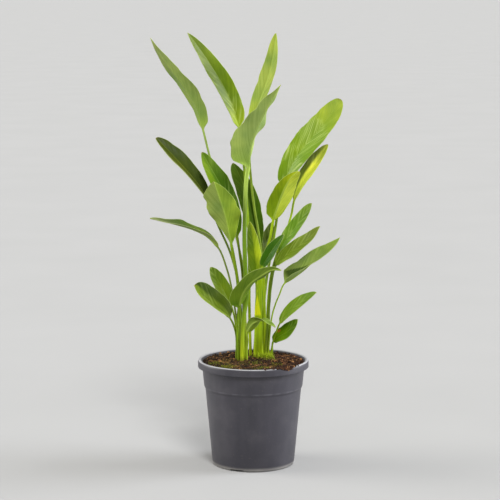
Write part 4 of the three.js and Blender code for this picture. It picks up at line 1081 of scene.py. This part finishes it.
def notched(points):
    """The same points, lifted to the notches' height inside them. A notch runs outwards at its
    own angle, and a point is in it where it lies within half its width of that line."""
    x, y, z = points[..., 0], points[..., 1], points[..., 2]
    for number in range(NOTCHES):
        way = math.radians(FIRST_NOTCH + 360 / NOTCHES * number)
        aside = np.abs(y * math.cos(way) - x * math.sin(way))
        outwards = x * math.cos(way) + y * math.sin(way)
        inside = 1 - step(NOTCH_WIDTH / 2 - NOTCH_EDGE, NOTCH_WIDTH / 2 + NOTCH_EDGE, aside)
        inside = inside * (outwards > FOOT_INNER_RADIUS - 3)
        z = np.where(z < NOTCH_HEIGHT, mix(z, NOTCH_HEIGHT, inside), z)
    return np.stack([x, y, z], axis=-1)


points = notched(turned(pot_profile, POT_SIDES))
print("the pot stands on z =", points[..., 2].min(), "and is", points[..., 2].max(), "mm high")
pot_faces = grid_faces(*points.shape[:2], ring=True)[:, ::-1]

# %% [markdown]
# ## Dark moulded plastic
#
# The plastic is dark grey, cool in its base colour and dulled by a film of dust and lime. The
# mould has left a fine stipple. Painted shade darkens the body towards the foot, painted
# highlights run along the rim's top and the collar's step, and the foot's edge is lighter.
# Painting each streak would take an image; stretched noise gives the same scatter, and the
# height says where the edges are.

# %% The pot's material


def pot_material():
    """A dark grey in streaks and clouds, with painted shade darker towards the foot. Heights in
    metres say where painted highlights run along the rim's top and the step's edge and where the
    foot's edge is lighter; dust lies in specks."""
    g = Graph("pot_plastic")
    high = g.node("SeparateXYZ", {}, {"Vector": g.place()}, out="Z")
    streaks = g.speckle(70, 3, g.place((1, 1, 0.12)))
    clouds = g.speckle(26, 4)
    stipple = g.speckle(2400, 2)
    dust = g.speckle(420, 5)
    colour = g.mix(streaks, paint(44, 43, 50), paint(60, 58, 66))
    colour = g.mix(clouds.step(0.45, 0.75) * 0.35, colour, paint(80, 77, 82))
    # Painted shade: the body darker towards the foot.
    colour = g.mix((1 - high.step(0.012, 0.085)) * 0.5, colour, paint(40, 39, 46))
    # Painted highlight: a pale line along the rim's top.
    rim_highlight = high.step(0.1804, 0.1816)
    foot_edge = 1 - high.step(0.003, 0.0085)
    # Painted highlight: a pale line along the collar's step.
    step_highlight = high.step(0.1345, 0.1362) * (1 - high.step(0.137, 0.1388))
    colour = g.mix(rim_highlight * (0.45 + clouds * 0.9), colour, paint(176, 176, 180))
    colour = g.mix(step_highlight * streaks.step(0.2, 0.8) * 0.35, colour, paint(118, 116, 124))
    colour = g.mix(foot_edge * (0.2 + clouds * 0.8), colour, paint(140, 137, 132))
    colour = g.mix(dust.step(0.62, 0.78) * 0.22, colour, paint(128, 118, 104))
    roughness = 0.38 + clouds * 0.14 + stipple * 0.06
    return g.finish(stipple + streaks * 0.6, 0.00006, Base_Color=colour, Roughness=roughness)


pot = piece("pot_wall", points * MM, pot_faces, pot_material())
weld(pot)
stand_for(pot, "pot")
print("the pot has", len(pot.data.polygons), "faces")

# %% [markdown]
# The drain holes between the pad and the foot ring are bored with a Boolean modifier, which is
# then applied. They could be left out, since only a look from below shows them, but a pot
# without them would drown the plant.

# %% The drain holes
HOLES, HOLE_CIRCLE, HOLE_RADIUS, HOLE_SIDES = 8, 45, 4.5, 24


def bore(made, centres, radius, low, high):
    """Takes upright round bars out of a piece, with a Boolean modifier that is then applied."""
    bar = turned(np.array([(radius, low), (radius, high)], float), HOLE_SIDES)
    bars = bar[None] + np.pad(centres, ((0, 0), (0, 1)))[:, None, None, :]
    count = 2 * HOLE_SIDES
    faces = [[c + count * n for c in face]
             for n in range(len(centres)) for face in tube_faces(2, HOLE_SIDES)]
    cutter = piece("drain_cutter", bars * MM, faces, made.data.materials[0])
    holes = made.modifiers.new("holes", "BOOLEAN")
    holes.operation, holes.solver, holes.object = "DIFFERENCE", "EXACT", cutter
    view = bpy.context.evaluated_depsgraph_get()
    cut = bpy.data.meshes.new_from_object(made.evaluated_get(view))
    made.modifiers.clear()
    made.data = cut
    bpy.data.objects.remove(cutter)


turn = (np.arange(HOLES) + 0.5) * 2 * np.pi / HOLES
bore(pot, round_the_axis(HOLE_CIRCLE, turn), HOLE_RADIUS, FLOOR_UNDER - 2.5, FLOOR_TOP + 3)
print("with its holes it has", len(pot.data.polygons), "faces")

# %% [markdown]
# ## The soil
#
# Peat settles into a slightly crowned, lumpy surface just below the rim, and is heaped a little
# where the stalks come out. Its body is a turned surface again, closed below, whose top is
# raised by noise. Only that would look like dough: what makes soil is its loose crumbs, of all
# sizes and a few colours, and the pale root fibres among them. They lie on it as separate
# small shapes, all in one mesh.

# %% The soil's body
SOIL_EDGE_RADIUS, SOIL_EDGE, SOIL_CROWN, SOIL_FLOOR = 86.2, 178.6, 2.4, 6.3
SOIL_LUMPS, SOIL_GRAIN = 1.4, 1.3  # mm
# Radius and height down along the wall's inside:
SOIL_SIDE = [(86.2, 171), (85.6, 169), (82.2, 137), (79.9, 132), (68.2, 12), (66, SOIL_FLOOR)]
SOIL_RINGS, SOIL_SIDES = 100, 320
feet = np.array([shape["path"][0][:2] for shape in LEAVES.values()], float)
foot_radii = np.array([shape["stalk"][0] for shape in LEAVES.values()], float)


def soil_height(x, y):
    """The edge's height, a crown that fades out towards the wall, long lumps, and noise."""
    out = np.clip(np.hypot(x, y) / SOIL_EDGE_RADIUS, 0, 1)
    lumps = np.sin(x / 9 + 1.3 * np.sin(y / 13)) * np.cos(y / 8 + np.sin(x / 17))
    grain = SOIL_GRAIN * rough(np.stack([x, y, 0 * x], axis=-1), 7, 31, 4)
    return SOIL_EDGE + SOIL_CROWN * (1 - step(0, 1, out)) + (SOIL_LUMPS * lumps + grain) * (1 - out**4)


def near_foot(x, y):
    """Distance from the nearest stalk's skin, in mm."""
    gap = np.hypot(x[..., None] - feet[:, 0], y[..., None] - feet[:, 1]) - foot_radii
    return gap.min(axis=-1)


def soil_points():
    """The top from its middle out, then down along the wall, and in under the floor."""
    out = np.linspace(0, 1, SOIL_RINGS) ** 0.8 * SOIL_EDGE_RADIUS
    top = turned(np.stack([out, 0 * out], axis=-1), SOIL_SIDES)
    top[..., 2] = soil_height(top[..., 0], top[..., 1])
    below = turned(np.array(SOIL_SIDE + [(0, SOIL_FLOOR)], float), SOIL_SIDES)
    return np.concatenate([top, below])


points = soil_points()
middle, highest = points[0, 0, 2].round(1), points[..., 2].max().round(1)
print("the soil's middle is at", middle, "mm, and its highest lump at", highest, "mm")

# %% [markdown]
# Moist peat is nearly black in patches, reddish towards the right, and olive where moss starts
# to grow; round each stalk it is darkened further, as painted shade. The material adds the
# grain. The crumbs, fibres and moss take the same material, each with its own points' colours.

# %% The soil's colours
PEAT, PEAT_RED, PEAT_BLACK = paint(49, 35, 22), paint(74, 41, 25), paint(21, 15, 10)
OLIVE, TAN = paint(92, 82, 30), paint(176, 128, 78)


def soil_material(name):
    """The points' own colour, dulled in clumps 4 mm wide, with lighter grains below 1 mm."""
    g = Graph(name)
    grain, clumps = g.speckle(1300, 4), g.speckle(240, 3)
    colour = g.mix(clumps.step(0.35, 0.7) * 0.5, g.colour("tint"), (0.42, 0.36, 0.32), "MULTIPLY")
    colour = g.mix(grain.step(0.55, 0.75) * 0.3, colour, paint(118, 88, 58))
    return g.finish(grain + clumps, 0.0007, Base_Color=colour, Roughness=0.97 - clumps * 0.12,
                    Specular_IOR_Level=0.2)


def soil_colour(points, seed):
    """Dark peat, redder to the right, and olive with moss in patches at the left and front."""
    x, y = points[..., 0:1], points[..., 1:2]
    flat = points * (1, 1, 0)
    red = 0.7 * step(0, 60, x) * (0.6 + 0.4 * rough(flat, 14, seed)[..., None])
    black = step(0.0, 0.7, rough(flat, 9, seed + 5)[..., None])
    mossy = step(20, -45, x) * step(20, -30, y) * step(-0.2, 0.4, noise(flat, 16, 8)[..., None])
    colour = mix(PEAT, PEAT_RED, np.clip(red, 0, 1))
    colour = mix(colour, PEAT_BLACK, 0.6 * black)
    return mix(colour, OLIVE, 0.75 * mossy)


# Painted shade: the soil darkened round the foot of each stalk.
shade = 0.35 + 0.65 * step(0, 5, near_foot(points[..., 0], points[..., 1]))[..., None]
numbers = {"tint": soil_colour(points, 40) * shade}
peat = soil_material("peat_soil")
faces = grid_faces(*points.shape[:2], ring=True)[:, ::-1]
soil = weld(piece("soil_body", points * MM, faces, peat, numbers))
stand_for(soil, "soil")
print("the soil's body has", len(soil.data.polygons), "faces")

# %% [markdown]
# A crumb is an icosahedron of 20 faces, turned, stretched and dented by chance. Scattering
# them with geometry nodes would work too, but the arrays below place them, keep them off the
# stalks and colour them in one go.

# %% One crumb, many times
golden = (1 + 5**0.5) / 2
BALL = unit(np.array([
    (-1, golden, 0), (1, golden, 0), (-1, -golden, 0), (1, -golden, 0),
    (0, -1, golden), (0, 1, golden), (0, -1, -golden), (0, 1, -golden),
    (golden, 0, -1), (golden, 0, 1), (-golden, 0, -1), (-golden, 0, 1),
]))
BALL_FACES = np.array([
    (0, 11, 5), (0, 5, 1), (0, 1, 7), (0, 7, 10), (0, 10, 11),
    (1, 5, 9), (5, 11, 4), (11, 10, 2), (10, 7, 6), (7, 1, 8),
    (3, 9, 4), (3, 4, 2), (3, 2, 6), (3, 6, 8), (3, 8, 9),
    (4, 9, 5), (2, 4, 11), (6, 2, 10), (8, 6, 7), (9, 8, 1),
])


def turns(count, chance):
    """One random turn each, as three axes at right angles."""
    first = unit(chance.normal(size=(count, 3)))
    second = unit(np.cross(first, chance.normal(size=(count, 3))))
    return np.stack([first, second, np.cross(first, second)], axis=1)


def crumb_points(centres, sizes, chance):
    """A ball's points, dented by up to a quarter, stretched, turned, and moved to each centre."""
    count = len(centres)
    ball = BALL[None] * chance.uniform(0.75, 1.15, (count, len(BALL), 1))
    ball = ball * chance.uniform(0.55, 1.1, (count, 1, 3))
    ball = np.einsum("nki,nij->nkj", ball, turns(count, chance))
    return centres[:, None, :] + ball * sizes[:, None, None]


def scattered(name, points, faces, tones, smooth=True):
    """One mesh of many small shapes: their points, one shape's faces, and a colour for each."""
    count, each = points.shape[0], points[0].size // 3
    faces = (faces[None] + np.arange(count)[:, None, None] * each).reshape(-1, 3)
    numbers = {"tint": np.repeat(tones[:, None, :], each, axis=1)}
    made = piece(name, points * MM, faces, peat, numbers, smooth)
    stand_for(made, "soil")
    print(name, "has", count, "shapes, the highest up to", round(points[..., 2].max(), 1), "mm")


print("a crumb has", len(BALL_FACES), "faces")

# %% [markdown]
# Most crumbs lie all over the soil. Some were spilt along the front of the rim, and a small heap
# lies across it. One generator is drawn from throughout, so every run gives the same crumbs.

# %% Where the crumbs lie
CRUMBS, SPILT, HEAPED = 2400, 260, 520
RIM_REST = RIM_TOP + 0.2
chance = np.random.default_rng(7)


def lying_crumbs():
    """All over the soil, mostly small ones, none in a stalk and none in the wall."""
    radius = SOIL_EDGE_RADIUS * np.sqrt(chance.uniform(0, 1, CRUMBS)) * 0.99
    x, y = round_the_axis(radius, chance.uniform(0, 2 * np.pi, CRUMBS)).T
    sizes = 0.8 + 2.6 * chance.uniform(0, 1, CRUMBS) ** 2.5
    clear = near_foot(x, y) > sizes * 0.6
    x, y, sizes = x[clear], y[clear], sizes[clear]
    sizes = np.minimum(sizes, 0.4 + (SOIL_EDGE_RADIUS + 0.2 - np.hypot(x, y)) * 0.9)
    return np.stack([x, y, soil_height(x, y) + sizes * 0.25], axis=-1), sizes


def spilt_crumbs():
    """Small ones by the wall and on the rim, round the front, a little to the right."""
    angle = np.radians(chance.normal(-62, 11, SPILT))
    radius = chance.uniform(84, 93.6, SPILT)
    sizes = 0.7 + 1.8 * chance.uniform(0, 1, SPILT) ** 2
    height = np.where(radius > 87.5, RIM_REST, SOIL_EDGE + 3.5)
    return np.column_stack([round_the_axis(radius, angle), height]), sizes


def heaped_crumbs(at=-52, wide=5.0):
    """A heap across the rim, at an angle in degrees. It is a bell both in what is piled up on
    the rim and in what has fallen down its outside."""
    spread = np.abs(chance.normal(0, 1, HEAPED))
    angle = np.radians(at + wide * spread * chance.choice([-1, 1], HEAPED))
    outwards = chance.uniform(0, 1, HEAPED)
    radius = mix(84, RIM_RADIUS + 0.2, np.minimum(outwards / 0.7, 1))
    sizes = chance.uniform(0.8, 1.9, HEAPED)
    piled = 2.6 * np.exp(-(spread**2) / 1.6) * chance.uniform(0, 1, HEAPED)
    fallen = 5 * np.clip((outwards - 0.7) / 0.3, 0, 1) * np.exp(-(spread**4) / 3)
    return np.column_stack([round_the_axis(radius, angle), RIM_REST + piled - fallen]), sizes


places, sizes = zip(lying_crumbs(), spilt_crumbs(), heaped_crumbs())
print("crumbs on the soil, spilt and heaped:", [len(some) for some in places])

# %% The crumbs
centres = np.vstack(places)
points = crumb_points(centres, np.concatenate(sizes), chance)
kinds = chance.uniform(0, 1, len(centres))[:, None]
colours = soil_colour(centres, 60) * chance.uniform(0.4, 1.9, (len(centres), 1))
colours = np.where(kinds > 0.94, TAN * chance.uniform(0.4, 1.1, kinds.shape), colours)
scattered("soil_crumbs", points, BALL_FACES, colours, smooth=False)

# %% [markdown]
# A root fibre is as thin as a thread. It starts anywhere on the soil, bends evenly to one side,
# and arches up a little in its middle. Curve objects would carry a round bevel; three sides are
# enough at this size and weigh far less.

# %% Root fibres
FIBRES, FIBRE_POINTS = 420, 7
THREE_WAYS = np.radians([90, 210, 330])


def stem_faces(rings):
    """The triangles of a three-sided stem, closed at both ends."""
    quads = grid_faces(rings, 3, ring=True)
    last = 3 * rings
    ends = [[2, 1, 0], [last - 3, last - 2, last - 1]]
    return np.vstack([quads[:, :3], quads[:, [0, 2, 3]], ends])


start = round_the_axis(84 * np.sqrt(chance.uniform(0, 1, FIBRES)),
                       chance.uniform(0, 2 * np.pi, FIBRES))
heading = chance.uniform(0, 2 * np.pi, (FIBRES, 1))
bend = chance.normal(0, 1.1, (FIBRES, 1))
length = chance.uniform(4, 17, (FIBRES, 1))
t = np.linspace(0, 1, FIBRE_POINTS)[None, :]
way = heading + bend * t
path = start[:, None, :] + np.cumsum(round_the_axis(length / (FIBRE_POINTS - 1), way), axis=1)
inside = np.linalg.norm(path, axis=-1).max(axis=1) < 85.5
(x, y), way = np.moveaxis(path[inside], -1, 0), way[inside]
lift = chance.uniform(0, 2.2, (len(x), 1)) * np.sin(np.pi * t)
line = np.stack([x, y, soil_height(x, y) + 0.5 + lift], axis=-1)
thin = chance.uniform(0.16, 0.38, (len(x), 1, 1, 1))
side = np.stack([-np.sin(way), np.cos(way), 0 * way], axis=-1)[:, :, None, :]
ring = np.cos(THREE_WAYS)[:, None] * side + np.sin(THREE_WAYS)[:, None] * np.array([0, 0, 1.0])
tones = mix(PEAT_RED, TAN, chance.uniform(0, 1.1, (len(x), 1)))
scattered("soil_fibres", line[:, :, None, :] + ring * thin, stem_faces(FIBRE_POINTS), tones)

# %% [markdown]
# ## Moss
#
# Moss has settled on the damp parts of the soil: at the front, on the left and round the foot of
# the shoots. A cushion is hundreds of tiny upright stems that lean every way. One stem is four
# points that taper to a tip, the stems of a patch stand on the soil's own height, and each takes
# a green of its own between yellow and olive. In front of the broad sheath's foot, where the
# shoots keep the soil wet, one tuft grows twice as high and a fresh yellow-green.

# %% Moss stems
# Each patch: its middle, spread and number of stems, and how lush it is, with 1 for a low one.
PATCHES = ((18, -72, 13, 300, 1), (-46, -60, 16, 260, 1), (-66, -30, 12, 130, 1),
           (22, 2, 13, 240, 1), (2, -34, 9, 90, 1), (38, -44, 10, 90, 1), (19, 13, 12, 420, 2.2))
STEM_POINTS = 4
MOSS_OLIVE, MOSS_YELLOW, MOSS_FRESH = paint(74, 78, 24), paint(150, 152, 44), paint(164, 190, 22)

moss_chance = np.random.default_rng(21)
stands = []
for across, depth, spread, count, lush in PATCHES:
    places = moss_chance.normal((across, depth), spread * 0.55, (count, 2))
    stands.append(np.column_stack([places, np.full(count, lush)]))
stands = np.vstack(stands)
stands = stands[np.hypot(stands[:, 0], stands[:, 1]) < 84]
stands = stands[near_foot(stands[:, 0], stands[:, 1]) > 0.3]
x, y, lush = (stands[:, k:k + 1] for k in range(3))
count = len(stands)
t = np.linspace(0, 1, STEM_POINTS)[None, :]
tall = moss_chance.uniform(1.6, 5, (count, 1)) * lush
lean = moss_chance.normal(0, 0.55, (count, 2, 1)) * tall[..., None] * t**1.5
line = np.stack([x + lean[:, 0], y + lean[:, 1], soil_height(x, y) - 0.3 + tall * t], axis=-1)
thin = (moss_chance.uniform(0.35, 0.6, (count, 1)) * (1.05 - t**2))[..., None, None]
ring = np.pad(round_the_axis(1, THREE_WAYS), ((0, 0), (0, 1)))
tones = mix(MOSS_OLIVE, MOSS_YELLOW, moss_chance.uniform(0, 1, (count, 1)) ** 1.6)
tones = mix(tones, MOSS_FRESH, 0.8 * step(1, 2, lush))
tones = tones * moss_chance.uniform(0.5, 1.2, (count, 1))
scattered("soil_moss", line[:, :, None, :] + ring * thin, stem_faces(STEM_POINTS), tones)

# %% [markdown]
# ## Floor and light
#
# A plain pale floor, far wider than the picture, carries the plant. The light is soft: a bright
# pale surrounding, a key light from above and in front, and one from each side, a little behind,
# that draws the thin bright lines along the pot's sides and the leaves' margins. Lamps near the
# plant would leave bright patches on the floor, so these shine from one direction everywhere.

# %% The floor
BELOW = -0.0003  # metres, so that the floor doesn't lie in the pot's foot
g = Graph("floor")
mottle = g.speckle(3, 2)
pale = g.mix(mottle, (0.41, 0.41, 0.405), (0.44, 0.44, 0.435))
floor_finish = g.finish(mottle, 0.00001, Base_Color=pale, Roughness=0.9,
                        Specular_IOR_Level=0.0)
corners = np.array([[(x, y, BELOW) for x in (-FAR_AWAY, FAR_AWAY)] for y in (-FAR_AWAY, FAR_AWAY)])
floor = piece("floor", corners, grid_faces(2, 2, ring=False), floor_finish)
floor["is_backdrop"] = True
print("the floor reaches", FAR_AWAY, "m each way")

# %% The lights
world = bpy.data.worlds.new("studio")
world.use_nodes = True
surround = world.node_tree.nodes["Background"]
surround.inputs["Color"].default_value = (1.0, 0.99, 0.97, 1)
surround.inputs["Strength"].default_value = 0.55
bpy.context.scene.world = world


def daylight(name, comes_from, strength, spread, colour=(1, 1, 1)):
    """Light from one direction all over the scene, as soft as a window spread degrees wide."""
    light = bpy.data.lights.new(name, "SUN")
    light.energy, light.angle, light.color = strength, math.radians(spread), colour
    made = bpy.data.objects.new(name, light)
    made.rotation_euler = Vector(comes_from).to_track_quat("Z", "Y").to_euler()
    bpy.context.scene.collection.objects.link(made)
    print(name, "light:", strength, "over", spread, "degrees")


daylight("key", (0.35, -1.5, 1.5), 2.1, 18)
daylight("left_side", (-1.5, 0.2, 0.5), 2.4, 40, (1.0, 0.98, 0.94))
daylight("right_side", (1.5, 0.15, 0.45), 3.9, 40, (0.92, 0.94, 1.0))
bpy.context.scene.view_settings.view_transform = "Standard"

# %% [markdown]
# ## Sizes
#
# The dressed plant's box is printed next to the imported model's. The dressed plant must be
# no bigger than the imported model.

# %% The two boxes
visual_box = [list(corner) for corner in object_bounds()]
for axis, a, b in zip("xyz", zip(*cad_box), zip(*visual_box)):
    print(axis, "packed", [round(1000 * v, 1) for v in a], "here", [round(1000 * v, 1) for v in b])
